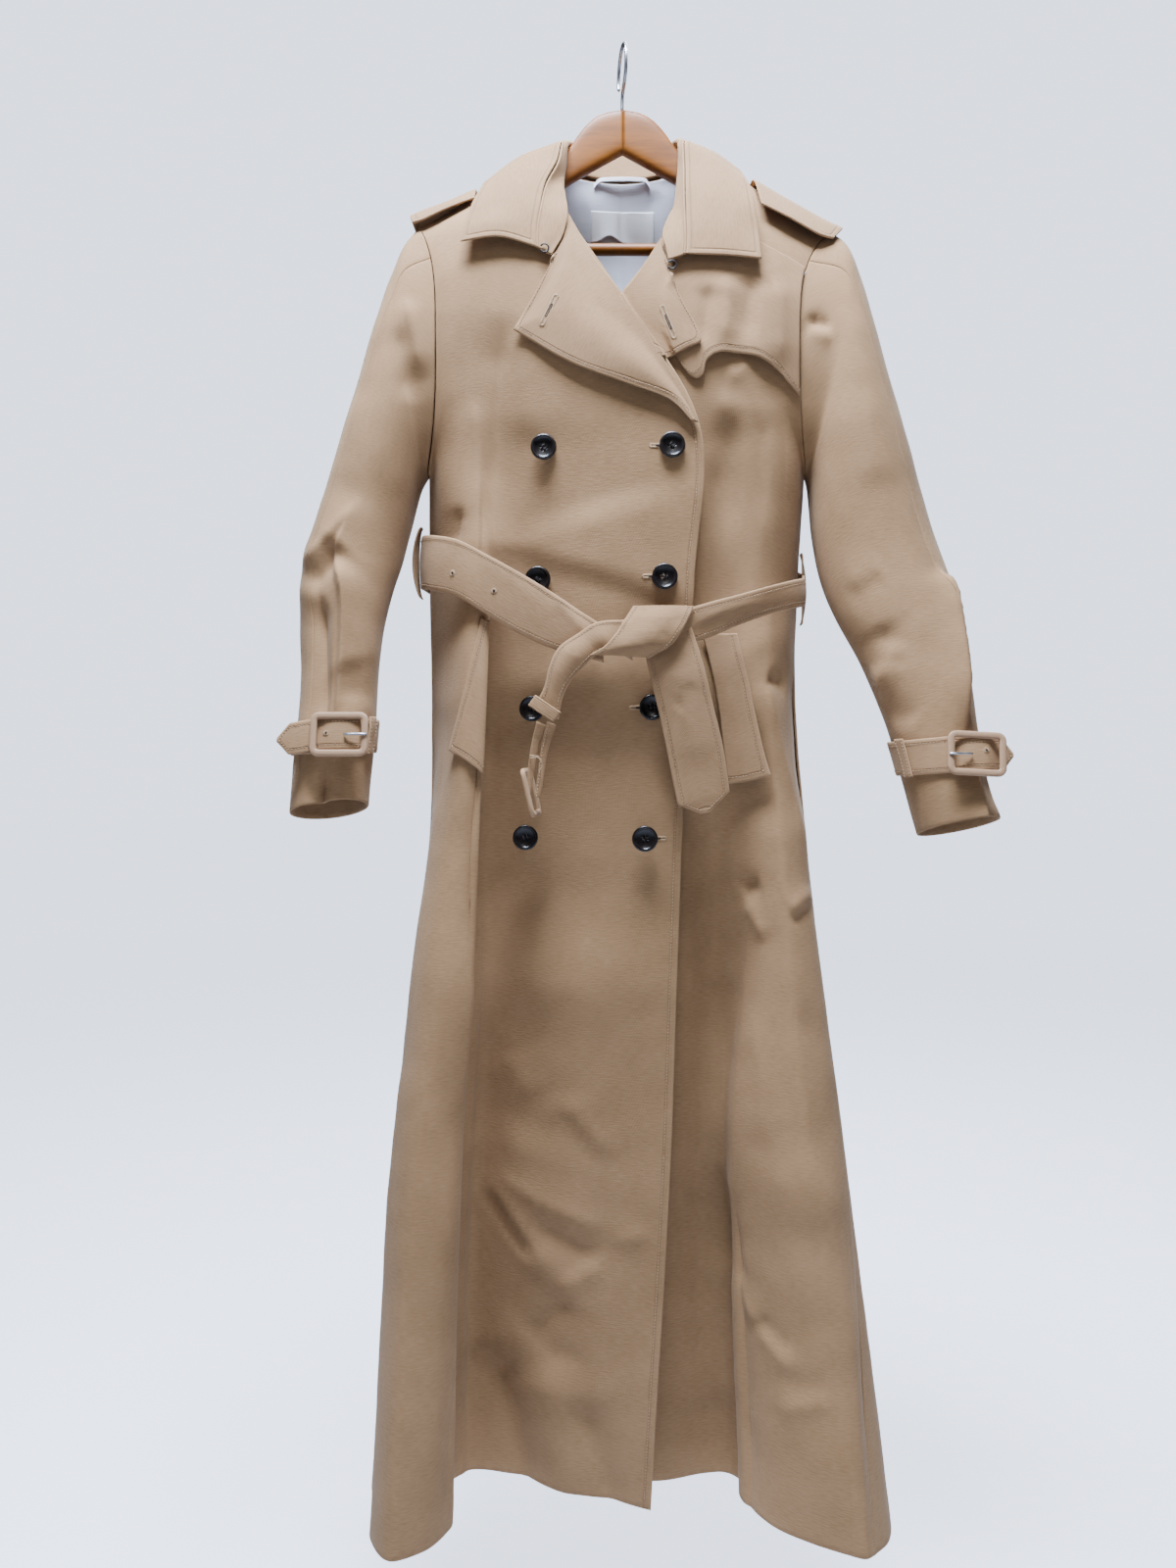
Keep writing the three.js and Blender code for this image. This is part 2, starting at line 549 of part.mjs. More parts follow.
// ---------- epaulettes ----------
// Rows from the neck end to the sleeve: back edge, ridge and front edge.
const EPAULETTE_RIGHT = table(
  ["rear", "ridge", "front"],
  [
    [[-148, 20, -158], [-148, -1, -146], [-148, -26, -166]],
    [[-178, 20, -172], [-178, -2, -160], [-178, -27, -178]],
    [[-202, 18, -183], [-204, -3, -170], [-201, -25, -188]],
    [[-211, 10, -184], [-215, -4, -175], [-210, -17, -187]],
  ],
);
const EPAULETTE_LEFT = table(
  ["rear", "ridge", "front"],
  [
    [[128, 12, -141], [131, -8, -139], [135, -45, -181]],
    [[162, 12, -160], [166, -10, -161], [163, -45, -195]],
    [[202, 10, -181], [207, -10, -183], [194, -39, -209]],
    [[217, 5, -190], [222, -9, -189], [208, -31, -209]],
  ],
);

function epaulette(rows, names) {
  const along = places(0, rows.length - 1, 2);
  return cloth(gridOn(surface(lines(rows, names)), places(0, 2, 3), along), TRIM_WALL);
}
const epauletteRight = epaulette(EPAULETTE_RIGHT, ["rear", "ridge", "front"]);
const epauletteLeft = epaulette(EPAULETTE_LEFT, ["front", "ridge", "rear"]);

// ---------- pocket welts ----------
// Corners on the panel: place across and place up.
const WELT_RIGHT = { low: [[1.5, 3.52], [2.3, 3.44], [3.02, 3.35]], high: [[2.7, 4.62], [2.9, 4.6], [3.1, 4.6]] };
const WELT_LEFT = { low: [[2.6, 3.28], [4.0, 3.3], [5.6, 3.34]], high: [[1.2, 4.5], [1.9, 4.5], [2.9, 4.5]] };
const WELT_LIFT = 3;

function welt(face, { low, high }) {
  const flat = (corners) => through(corners.map(([across, up]) => point([across, up, 0])));
  const [bottom, top] = [flat(low), flat(high)];
  const grid = places(0, 1, 6).map((rise) =>
    places(0, 2, 2).map((along) => {
      const place = bottom(along).lerp(top(along), rise);
      return movedOut(face, place.x, place.y, WELT_LIFT);
    }),
  );
  return cloth(grid, BODY_WALL);
}
const weltRight = welt(frontRightFace, WELT_RIGHT);
const weltLeft = welt(frontLeftFace, WELT_LEFT);

// ---------- belt ----------
// Stations from the knot round the right side, the back and the left side to the knot again.
const BELT = table(
  ["station", "top", "bottom"],
  [
    ["knot", [-22, -78, -598], [-20, -77, -634]],
    ["front", [-61, -76, -572], [-68, -75, -621]],
    ["panel", [-94, -73, -551], [-103, -73, -605]],
    ["roll", [-133, -70, -529], [-133, -72, -587]],
    ["bend", [-160, -62, -514], [-160, -66, -570]],
    ["turn", [-186, -36, -504], [-186, -42, -560]],
    ["hip", [-202, -12, -499], [-203, -14, -554]],
    ["rightSide", [-206, 12, -498], [-206, 14, -550]],
    ["wing", [-194, 44, -500], [-196, 46, -552]],
    ["blade", [-158, 58, -505], [-160, 60, -557]],
    ["rear", [-80, 62, -512], [-80, 64, -564]],
    ["centre", [0, 64, -515], [0, 66, -567]],
    ["rearLeft", [80, 61, -516], [80, 63, -566]],
    ["bladeLeft", [152, 52, -520], [152, 54, -566]],
    ["wingLeft", [180, 34, -526], [180, 36, -566]],
    ["leftSide", [187, 6, -535], [187, 6, -568]],
    ["hipLeft", [181, -20, -543], [182, -20, -572]],
    ["slopeLeft", [165, -46, -550], [168, -42, -577]],
    ["lobeLeft", [140, -66, -559], [140, -60, -586]],
    ["panelLeft", [111, -74, -568], [111, -68, -597]],
    ["frontLeft", [85, -76, -575], [83, -72, -609]],
    ["knotLeft", [58, -77, -583], [48, -76, -620]],
  ],
);
const beltStation = (name) => BELT.findIndex((row) => row.station === name);

// A stretch of the belt between two stations; its middle bulges a little.
function beltStretch(from, to) {
  const rows = BELT.slice(beltStation(from), beltStation(to) + 1);
  const [top, bottom] = lines(rows, ["top", "bottom"]);
  const along = places(0, rows.length - 1, 2).toReversed();
  const grid = [bottom, top].map((edge) => along.map((place) => edge(place)));
  return cloth(grid, TRIM_WALL);
}
const beltRight = beltStretch("knot", "rightSide");
const beltBack = beltStretch("rightSide", "leftSide");
const beltLeft = beltStretch("leftSide", "knotLeft");
sew(beltRight, beltBack, beltLeft);

// Strips that hang or wrap: rows from top to bottom with the left and right edge, and how far the middle bulges.
const KNOT = table(
  ["left", "right", "bulge"],
  [
    [[8, -84, -580], [66, -83, -580], 5],
    [[-2, -86, -592], [61, -86, -592], 8],
    [[-10, -86, -608], [54, -87, -606], 9],
    [[-19, -84, -620], [46, -86, -618], 7],
    [[-18, -83, -629], [24, -84, -630], 3],
  ],
);
const POINTED_END = table(
  ["left", "right", "bulge"],
  [
    [[24, -80, -634], [70, -80, -622], 2],
    [[28, -80, -652], [76, -80, -640], 3],
    [[37, -77, -688], [85, -77, -676], 2],
    [[45, -75, -731], [95, -74, -717], 1],
    [[53, -73, -770], [101, -72, -757], 1],
    [[75, -72, -779], [83, -72, -777], 0],
  ],
);
const BUCKLE_END = table(
  ["left", "right", "bulge"],
  [
    [[-44, -82, -606], [-25, -84, -626], 3],
    [[-63, -84, -620], [-36, -84, -636], 5],
    [[-72, -84, -638], [-49, -84, -650], 4],
    [[-77, -83, -658], [-58, -83, -666], 2],
    [[-84, -82, -672], [-63, -82, -689], 1],
  ],
);
const THIN_STRAP = table(
  ["left", "right", "bulge"],
  [
    [[-79, -80, -694], [-70, -80, -696], 0],
    [[-85, -78, -712], [-78, -78, -713], 0],
    [[-88, -77, -730], [-82, -77, -730], 0],
  ],
);

function strip(rows, columns = 2) {
  const [left, right] = lines(rows, ["left", "right"]);
  const bulges = through(rows.map((row) => point([row.bulge, 0, 0])));
  const grid = places(rows.length - 1, 0, 2).map((place) =>
    places(0, 1, columns).map((across) => {
      const p = left(place).lerp(right(place), across);
      p.y -= bulges(place).x * Math.sin(Math.PI * across);
      return p;
    }),
  );
  return cloth(grid, TRIM_WALL);
}
const BELT_KEEPER = table(
  ["left", "right", "bulge"],
  [
    [[-86, -87, -667], [-61, -87, -684], 1],
    [[-91, -87, -674], [-67, -87, -690], 1],
  ],
);
const knot = strip(KNOT, 6);
const pointedEnd = strip(POINTED_END, 3);
const buckleEnd = strip(BUCKLE_END, 3);
const thinStrap = strip(THIN_STRAP, 1);
const beltKeeper = strip(BELT_KEEPER, 3);
const BELT_BUCKLE = { outer: [44, 48], inner: [30, 34], thickness: 5, at: [-90, -64, -758], turn: 78 };

// ---------- belt loops ----------
// Rows from bottom to top: how far the loop stands out at the side seam.
function beltLoop(outwards, x, y, low, high) {
  const [reach, width, rows] = [7, 11, 6];
  const grid = places(0, 1, rows).map((rise) => {
    const out = x + outwards * reach * Math.sin(Math.PI * rise) ** 0.5;
    const z = mix(low, high, rise);
    const edges = [y - width / 2, y + width / 2].map((edge) => point([out, edge, z]));
    return outwards > 0 ? edges : edges.toReversed();
  });
  return cloth(grid, BODY_WALL);
}
const loopRight = beltLoop(-1, -204.5, 0, -562, -488);
const loopLeft = beltLoop(1, 183.5, 4, -588, -514);

// ---------- cuff straps ----------
// Place of the strap on the sleeve, its stand-off, and the free tip from the buckle to its point.
const CUFFS = {
  right: {
    face: rightSleeveFace,
    low: 1.42,
    high: 2.5,
    tip: [[-246, -109, -703], [-280, -110, -703], [-306, -108, -707], [-326, -102, -709]],
    buckle: [-265, -114, -704],
    tilt: 0,
    keeper: 150,
  },
  left: {
    face: leftSleeveFace,
    low: 1.18,
    high: 2.08,
    tip: [[300, -111, -725], [322, -113, -722], [344, -110, -722], [362, -104, -723]],
    buckle: [323, -118, -722],
    tilt: 3,
    keeper: 148,
  },
};
const STRAP_LIFT = 3.2;
const STRAP_TIP_HALF = 15;
const BUCKLE_OUTER = [54, 42];
const BUCKLE_INNER = [41, 29];
const BUCKLE_THICKNESS = 2.6;
const PRONG_DIAMETER = 2.2;
const FOREARM_LEAN = 11; // degrees that the forearm leans towards the front

// A point of a sleeve moved away from the sleeve's own middle line.
function aroundSleeve(face, degrees, up, lift) {
  const middle = face(0, up).add(face(180, up)).multiplyScalar(0.5);
  const p = face(degrees, up);
  return p.add(p.clone().sub(middle).setZ(0).normalize().multiplyScalar(lift));
}

function cuffStrap(side) {
  const { face, low, high } = CUFFS[side];
  const angles = Array.from({ length: 24 }, (_, i) => (side === "right" ? 15 * i : 360 - 15 * i));
  return cloth(
    [low, high].map((up) => angles.map((degrees) => aroundSleeve(face, degrees, up, STRAP_LIFT))),
    TRIM_WALL - 0.8,
    true,
  );
}

function cuffTip(side) {
  const middle = through(CUFFS[side].tip.map(point));
  const narrow = (place) => (place > 2.5 ? mix(1, 0.3, (place - 2.5) / 0.5) : 1);
  const inOrder = side === "right" ? places(0, 3, 2).toReversed() : places(0, 3, 2);
  const lean = Math.tan(radians(FOREARM_LEAN));
  const grid = [-1, 0, 1].map((edge) =>
    inOrder.map((place) => {
      const p = middle(place);
      const rise = edge * STRAP_TIP_HALF * narrow(place);
      return p.add(new THREE.Vector3(0, rise * lean, rise));
    }),
  );
  return cloth(grid, TRIM_WALL - 0.8);
}

function cuffKeeper(side) {
  const { face, low, high, keeper } = CUFFS[side];
  const angles = [keeper, keeper + 7, keeper + 14];
  const inOrder = side === "right" ? angles : angles.toReversed();
  const grid = places(0, 1, 2).map((rise) =>
    inOrder.map((degrees) => aroundSleeve(face, degrees, mix(low, high, rise), STRAP_LIFT + 2.6)),
  );
  return cloth(grid, 2);
}

// ---------- shapes with sharp outlines ----------
function roundedRectangle(width, height, radius, Kind = THREE.Shape) {
  const [x, y] = [width / 2, height / 2];
  return new Kind()
    .moveTo(-x + radius, -y)
    .lineTo(x - radius, -y)
    .absarc(x - radius, -y + radius, radius, -Math.PI / 2, 0)
    .lineTo(x, y - radius)
    .absarc(x - radius, y - radius, radius, 0, Math.PI / 2)
    .lineTo(-x + radius, y)
    .absarc(-x + radius, y - radius, radius, Math.PI / 2, Math.PI)
    .lineTo(-x, -y + radius)
    .absarc(-x + radius, -y + radius, radius, Math.PI, 1.5 * Math.PI);
}

// A flat frame in the XZ plane, facing -Y.
function frameGeometry([width, height], [holeWidth, holeHeight], thickness) {
  const shape = roundedRectangle(width, height, 5);
  shape.holes.push(roundedRectangle(holeWidth, holeHeight, 2, THREE.Path));
  const geometry = new THREE.ExtrudeGeometry(shape, { depth: thickness, bevelEnabled: false, curveSegments: 3 });
  return geometry.translate(0, 0, -thickness / 2).rotateX(Math.PI / 2);
}

// A round wire or cord along a line of points.
function wire(points, diameter, sides, steps) {
  const section = new THREE.Shape().absarc(0, 0, diameter / 2, 0, 2 * Math.PI);
  const extrudePath = new THREE.CatmullRomCurve3(points, false, "centripetal");
  return new THREE.ExtrudeGeometry(section, { steps, curveSegments: sides, extrudePath, bevelEnabled: false });
}

// ---------- hanger ----------
const HANGER_TOP = [[0.2, -64], [24, -69], [40, -83], [52, -101], [62, -111], [80, -121], [140, -158], [203, -197]];
const HANGER_UNDER = [[206, -219], [172, -217], [168, -198], [140, -184], [61, -142], [0.2, -110]];
const HANGER_BEVEL = 3;

function hangerHalf(side) {
  const top = HANGER_TOP.map(([x, z]) => new THREE.Vector2(x, z));
  const under = HANGER_UNDER.map(([x, z]) => new THREE.Vector2(x, z));
  const shape = new THREE.Shape([...top, ...under].map((p) => new THREE.Vector2(side * p.x, p.y)));
  const geometry = new THREE.ExtrudeGeometry(shape, {
    depth: HANGER_THICKNESS - 2 * HANGER_BEVEL,
    bevelThickness: HANGER_BEVEL,
    bevelSize: HANGER_BEVEL,
    bevelOffset: -HANGER_BEVEL,
    bevelSegments: 2,
  });
  return geometry.translate(0, 0, -HANGER_THICKNESS / 2 + HANGER_BEVEL).rotateX(Math.PI / 2);
}

// The hook: a straight shank, then a round bend over the rail from the front to the back.
function hookGeometry() {
  const radius = RAIL_RADIUS + WIRE_DIAMETER / 2;
  const inPlane = (forwards, z) => {
    const yaw = radians(HOOK_YAW);
    return new THREE.Vector3(forwards * Math.sin(yaw), -forwards * Math.cos(yaw), z);
  };
  const bend = Array.from({ length: 15 }, (_, i) => {
    const angle = radians(mix(-68, 205, i / 14));
    return inPlane(radius * Math.cos(angle), -RAIL_RADIUS + radius * Math.sin(angle));
  });
  const shank = [inPlane(0, -63.4), inPlane(0, -54), inPlane(1.6, -47.5)];
  return wire([...shank, ...bend], WIRE_DIAMETER, 4, 30);
}

// ---------- buttons ----------
// Centres of the buttons on the right front, one row a pair: outer column, then the column near the edge.
const BUTTONS = table(
  ["z", "outer", "inner"],
  [
    [-424, -78, 46],
    [-550, -84, 39],
    [-676, -90, 27],
    [-803, -97, 20],
  ],
);
const BUTTON_LIFT = 1.2;

function buttonGeometry() {
  const r = BUTTON_DIAMETER / 2;
  const t = BUTTON_THICKNESS;
  const profile = [
    [0, 0],
    [r - 3, 0],
    [r, 1.4],
    [r, t - 0.8],
    [r - 0.8, t],
    [r - BUTTON_RIM, t],
    [r - BUTTON_RIM - 1, t - 1.2],
    [0, t - 1.2],
  ];
  return new THREE.LatheGeometry(profile.map(([x, y]) => new THREE.Vector2(x, y)), 14);
}

// ---------- neck: lining, label, loop, hook and eye ----------
const LINING_GAP = 3;
const LABEL = { left: -32, right: 34, top: -148, bottom: -181 };

function backLining() {
  const across = places(4.3, 7.7, 2);
  const grid = gridOn((u, v) => movedOut(backFace, u, v, -BODY_WALL - LINING_GAP), across, places(7.2, 10.8, 2));
  return cloth(grid.map((row) => row.toReversed()), 1);
}
const lining = backLining();

function blankLabel() {
  const { left, right, top, bottom } = LABEL;
  const grid = [bottom, top].map((z) =>
    places(left, right, 4 / (right - left)).map((x) => point([x, frontDepth([lining], x, z) - 1.6, z])),
  );
  return cloth(grid, 1);
}
const LOOP_PATH = [[-29, 34, -116], [-20, 33, -110], [2, 33, -108], [24, 33, -110], [30, 34, -116]];
const CLASP = { eye: [-77, -66, -233], hook: [46, -66, -249] };

// ---------- the finished part ----------
const coat = new THREE.Group();

function add(name, geometry, material) {
  const mesh = new THREE.Mesh(geometry, material);
  mesh.name = name;
  coat.add(mesh);
  return mesh;
}

const sewn = {
  front_right: frontRight,
  front_left: frontLeft,
  back,
  sleeve_right_upper: rightSleeve.upper,
  sleeve_right_under: rightSleeve.under,
  sleeve_left_upper: leftSleeve.upper,
  sleeve_left_under: leftSleeve.under,
  lapel_right: lapelRight,
  lapel_left: lapelLeft,
  collar_fall: collarFall,
  collar_stand: collarStand,
  storm_flap: flap,
  epaulette_right: epauletteRight,
  epaulette_left: epauletteLeft,
  welt_right: weltRight,
  welt_left: weltLeft,
  belt_right: beltRight,
  belt_back: beltBack,
  belt_left: beltLeft,
  belt_knot: knot,
  belt_pointed_end: pointedEnd,
  belt_buckle_end: buckleEnd,
  belt_thin_strap: thinStrap,
  belt_keeper: beltKeeper,
  belt_loop_right: loopRight,
  belt_loop_left: loopLeft,
  cuff_strap_right: cuffStrap("right"),
  cuff_strap_left: cuffStrap("left"),
  cuff_tip_right: cuffTip("right"),
  cuff_tip_left: cuffTip("left"),
  cuff_keeper_right: cuffKeeper("right"),
  cuff_keeper_left: cuffKeeper("left"),
};
for (const [name, sheet] of Object.entries(sewn)) add(name, solid(trim(sheet, SEAM_GAP)), GABARDINE);

add("neck_lining", solid(lining), SATIN);
add("label", solid(blankLabel()), SATIN);
add("hanger_loop", wire(LOOP_PATH.map(point), 3, 2, 10), SATIN);

for (const side of ["right", "left"]) {
  const { buckle, tilt } = CUFFS[side];
  const frame = add("cuff_buckle_" + side, frameGeometry(BUCKLE_OUTER, BUCKLE_INNER, BUCKLE_THICKNESS), BUCKLE);
  frame.position.fromArray(buckle);
  frame.rotation.set(radians(-FOREARM_LEAN), radians(tilt), 0);
  const [x, y, z] = buckle;
  const hinge = side === "right" ? 1 : -1;
  const prong = [
    [x + hinge * 25, y - 3, z],
    [x + hinge * 8, y - 3.2, z],
  ];
  add("cuff_prong_" + side, wire(prong.map(point), PRONG_DIAMETER, 3, 1), BLACK_STEEL);
}
const { outer, inner, thickness, at: buckleAt, turn: buckleTurn } = BELT_BUCKLE;
const beltBuckle = add("belt_buckle", frameGeometry(outer, inner, thickness), GABARDINE);
beltBuckle.position.fromArray(buckleAt);
beltBuckle.rotation.z = radians(buckleTurn);

BUTTONS.forEach((row, i) => {
  for (const column of ["outer", "inner"]) {
    const button = add("button_" + (i + 1) + "_" + column, buttonGeometry(), HORN);
    const reach = BUTTON_DIAMETER / 2;
    const around = [[0, 0], [reach, 0], [-reach, 0], [0, reach], [0, -reach]];
    const below = around.map(([x, z]) => frontDepth([frontRight], row[column] + x, row.z + z));
    button.position.set(row[column], Math.min(...below) - BUTTON_LIFT, row.z);
    button.rotation.x = Math.PI;
  }
});

add("hanger_right", hangerHalf(-1), WOOD);
add("hanger_left", hangerHalf(1), WOOD);
add("hanger_bar", new THREE.CylinderGeometry(BAR_DIAMETER / 2, BAR_DIAMETER / 2, 2 * BAR_REACH, 12), WOOD);
coat.children.at(-1).rotation.z = Math.PI / 2;
coat.children.at(-1).position.z = BAR_HEIGHT;
add("hanger_hook", hookGeometry(), STEEL);

for (const [name, at] of Object.entries(CLASP)) {
  const ring = Array.from({ length: 7 }, (_, i) => {
    const angle = radians(mix(-150, 150, i / 6));
    return point([at[0] + 4 * Math.cos(angle), at[1], at[2] + 4 * Math.sin(angle)]);
  });
  add("collar_" + name, wire(ring, 1.6, 2, 10), BLACK_STEEL);
}

export default coat;
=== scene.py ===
import math

import bpy
import numpy as np
from mathutils import Matrix, Vector, noise
from mathutils.bvhtree import BVHTree


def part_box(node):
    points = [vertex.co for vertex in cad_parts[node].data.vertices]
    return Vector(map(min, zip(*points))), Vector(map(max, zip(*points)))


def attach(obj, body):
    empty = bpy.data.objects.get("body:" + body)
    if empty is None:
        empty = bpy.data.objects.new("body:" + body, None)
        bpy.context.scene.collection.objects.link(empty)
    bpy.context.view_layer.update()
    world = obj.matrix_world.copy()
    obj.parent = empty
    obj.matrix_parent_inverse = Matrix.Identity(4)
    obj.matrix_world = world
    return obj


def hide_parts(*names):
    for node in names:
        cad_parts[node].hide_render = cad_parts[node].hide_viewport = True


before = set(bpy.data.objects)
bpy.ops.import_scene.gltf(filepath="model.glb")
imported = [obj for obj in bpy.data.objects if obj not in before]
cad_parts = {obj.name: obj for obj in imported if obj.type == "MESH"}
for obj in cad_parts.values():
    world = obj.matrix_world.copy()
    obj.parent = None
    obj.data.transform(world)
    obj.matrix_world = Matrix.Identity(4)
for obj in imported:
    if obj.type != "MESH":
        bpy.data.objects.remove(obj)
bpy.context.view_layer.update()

# A long double-breasted trench coat of cotton gabardine on a wooden hanger, hung from its wire hook.
# Shapes are worked out in millimetres, +Z up, the coat's front towards -Y, and made in metres.
MM = 0.001

# ---------- walls and seams ----------
BODY_WALL = 2.0  # two layers of gabardine
SLEEVE_WALL = 1.6
TRIM_WALL = 2.4  # interlined collar, lapels and belt
STRAP_WALL = 1.6
LINING_WALL = 1.0
RIM = 1.3  # how far the roll of a folded edge reaches in
SEAM_SHIFT = 0.5  # from the body's edge to the sleeve head

# ---------- camera ----------
camera = bpy.data.cameras.new("camera")
camera.lens = 27
camera.sensor_width = 36
eye = bpy.data.objects.new("camera", camera)
eye.location = (-0.035, -1.2, -0.75)
eye.rotation_euler = (math.pi / 2, 0, 0)
bpy.context.collection.objects.link(eye)
bpy.context.scene.camera = eye

# ---------- form tables: the same lines that the solids are made from ----------
# Heights of the body's levels: at the side seam, turn round the armhole in degrees, right, left, back.
LEVELS = [
    ["hem", -1476, None, -1476, -1476, -1476],
    ["knee", -1150, None, -1150, -1150, -1150],
    ["thigh", -939, None, -939, -939, -939],
    ["hip", -788, None, -788, -788, -788],
    ["seat", -655, None, -655, -655, -655],
    ["waist", -550, None, -550, -550, -550],
    ["underarm", -438, 180, -405, -365, -434],
    ["chest", None, 120, -276, -276, -345],
    ["yoke", None, 75, -196, -213, -250],
    ["collarbone", None, 40, -152, -152, -178],
    ["ridge", None, 15, -120, -120, -128],
    ["shoulder", None, 0, -108, -108, -117],
]

FRONT_RIGHT = [
    [[-250, -20], [-243, -75], [-219, -103], [-168, -57], [-184, 16], [-150, 40], [-60, 7], [27, -26]],
    [[-232, 0], [-228, -50], [-200, -86], [-160, -64], [-172, -6], [-140, 14], [-50, -22], [45, -42]],
    [[-212, 10], [-207, -45], [-180, -78], [-147, -72], [-155, -18], [-128, 0], [-40, -44], [52, -52]],
    [[-198, 15], [-188, -35], [-162, -68], [-140, -70], [-144, -34], [-118, -20], [-35, -58], [57, -60]],
    [[-197, 14], [-175, -35], [-153, -62], [-135, -66], [-136, -44], [-112, -32], [-30, -60], [63, -62]],
    [[-198, 10], [-172, -30], [-151, -54], [-134, -58], [-126, -48], [-108, -40], [-28, -62], [68, -64]],
    [[-197, -3], [-182, -35], [-161, -50], [-140, -55], [-126, -54], [-108, -54], [-20, -66], [73, -68]],
    [[-187, -45], [-176, -52], [-158, -56], [-138, -59], [-122, -61], [-100, -63], [-48, -66], [-2, -62]],
    [[-184, -50], [-175, -54], [-160, -56], [-142, -57], [-124, -57], [-105, -56], [-75, -52], [-50, -45]],
    [[-190, -34], [-180, -37], [-165, -39], [-150, -40], [-132, -40], [-112, -38], [-86, -32], [-66, -25]],
    [[-205, -15], [-190, -14], [-174, -14], [-157, -14], [-139, -14], [-119, -13], [-96, -12], [-76, -10]],
    [[-207, -3], [-192, -3], [-175, -3], [-158, -2], [-140, -1], [-120, 0], [-98, 0], [-80, 1]],
]

FRONT_LEFT = [
    [[-80, 34], [36, 24], [88, 32], [114, 22], [121, -22], [146, -54], [210, -94], [226, -100], [236, -94]],
    [[-75, 12], [50, 0], [81, 10], [102, 2], [110, -20], [133, -45], [185, -78], [218, -58], [224, -20]],
    [[-70, -18], [58, -26], [89, -14], [108, -18], [119, -30], [138, -46], [164, -62], [193, -44],
     [200, -5]],
    [[-65, -36], [62, -42], [91, -36], [110, -39], [124, -45], [137, -51], [153, -56], [174, -38],
     [186, 0]],
    [[-62, -44], [66, -48], [95, -45], [111, -47], [123, -50], [133, -51], [143, -49], [163, -28],
     [177, 5]],
    [[-60, -46], [70, -50], [100, -47], [114, -46], [126, -46], [136, -44], [149, -38], [168, -20],
     [179, 2]],
    [[-60, -52], [76, -56], [104, -56], [120, -56], [134, -54], [146, -52], [158, -46], [173, -32],
     [185, -3]],
    [[-2, -54], [34, -56], [62, -57], [88, -57], [108, -57], [126, -56], [142, -53], [158, -49],
     [174, -45]],
    [[37, -40], [55, -45], [75, -49], [95, -51], [113, -52], [130, -52], [146, -52], [160, -51],
     [172, -50]],
    [[66, -25], [80, -28], [95, -31], [110, -34], [126, -36], [142, -37], [158, -37], [174, -36],
     [190, -34]],
    [[76, -10], [92, -12], [109, -13], [128, -14], [146, -14], [163, -14], [179, -14], [194, -14],
     [208, -15]],
    [[80, 1], [95, 0], [112, -1], [130, -1], [148, -2], [165, -2], [180, -3], [196, -3], [212, -3]],
]

BACK = [
    [[236, -94], [256, -70], [262, 10], [225, 80], [150, 120], [80, 98], [0, 122], [-70, 96],
     [-130, 118], [-215, 92], [-258, 30], [-250, -20]],
    [[224, -20], [230, -4], [228, 24], [200, 66], [140, 90], [70, 76], [0, 92], [-60, 76], [-120, 92],
     [-200, 78], [-237, 30], [-232, 0]],
    [[200, -5], [203, 6], [202, 24], [178, 58], [125, 78], [65, 66], [0, 78], [-58, 66], [-115, 80],
     [-180, 68], [-213, 36], [-212, 10]],
    [[186, 0], [188, 10], [187, 24], [165, 52], [115, 68], [60, 58], [0, 68], [-55, 58], [-110, 70],
     [-168, 60], [-197, 38], [-198, 15]],
    [[177, 5], [179, 14], [176, 26], [156, 46], [110, 60], [58, 52], [0, 60], [-54, 52], [-106, 62],
     [-162, 54], [-192, 36], [-197, 14]],
    [[179, 2], [179, 12], [174, 24], [152, 42], [108, 54], [56, 50], [0, 56], [-52, 50], [-104, 56],
     [-158, 48], [-190, 32], [-198, 10]],
    [[185, -3], [183, 8], [174, 24], [148, 40], [104, 48], [54, 46], [0, 50], [-52, 46], [-102, 48],
     [-156, 42], [-186, 26], [-197, -3]],
    [[174, 38], [166, 41], [156, 43], [136, 46], [98, 49], [52, 48], [0, 50], [-52, 48], [-98, 49],
     [-140, 46], [-168, 42], [-187, 38]],
    [[172, 43], [164, 45], [152, 46], [130, 48], [94, 50], [50, 49], [0, 50], [-50, 49], [-94, 50],
     [-136, 47], [-164, 44], [-184, 43]],
    [[190, 28], [180, 30], [166, 32], [140, 34], [96, 38], [50, 45], [0, 47], [-50, 45], [-96, 38],
     [-142, 33], [-172, 30], [-190, 28]],
    [[208, 9], [196, 12, -187], [177, 14, -176], [140, 15, -154], [84, 16, -118], [50, 37, -124],
     [0, 43, -128], [-50, 37, -124], [-84, 16, -118], [-140, 15, -155], [-182, 12, -179], [-205, 9]],
    [[212, -3], [198, -2, -181], [178, 0, -169], [138, 1, -144], [80, 3, -108], [48, 34, -113],
     [0, 42, -117], [-48, 34, -113], [-80, 3, -108], [-140, 1, -145], [-182, -1, -171], [-207, -3]],
]

SLEEVE_RIGHT = [
    ["mouth", [-321, -780], [-247, -769], -70, 45],
    ["cuff", [-319, -741], [-245, -738], -64, 46],
    ["wrist", [-317, -702], [-242, -698], -58, 46],
    ["forearm", [-316, -644], [-241, -644], -48, 46],
    ["fold", [-319, -585], [-237, -595], -38, 48],
    ["below", [-317, -530], [-229, -555], -28, 50],
    ["elbow", [-305, -483], [-222, -529], -20, 52],
    ["above", [-287, -419], [-216, -501], -14, 54],
    ["biceps", [-267, -349], [-210, -473], -10, 56],
    ["cap", [-250, -288], [-205, -453], -7, 56],
    ["crown", [-234, -238], [-202, -446], -5, 54],
    ["head", [-219, -202], [-199, -441], -4, 51],
]

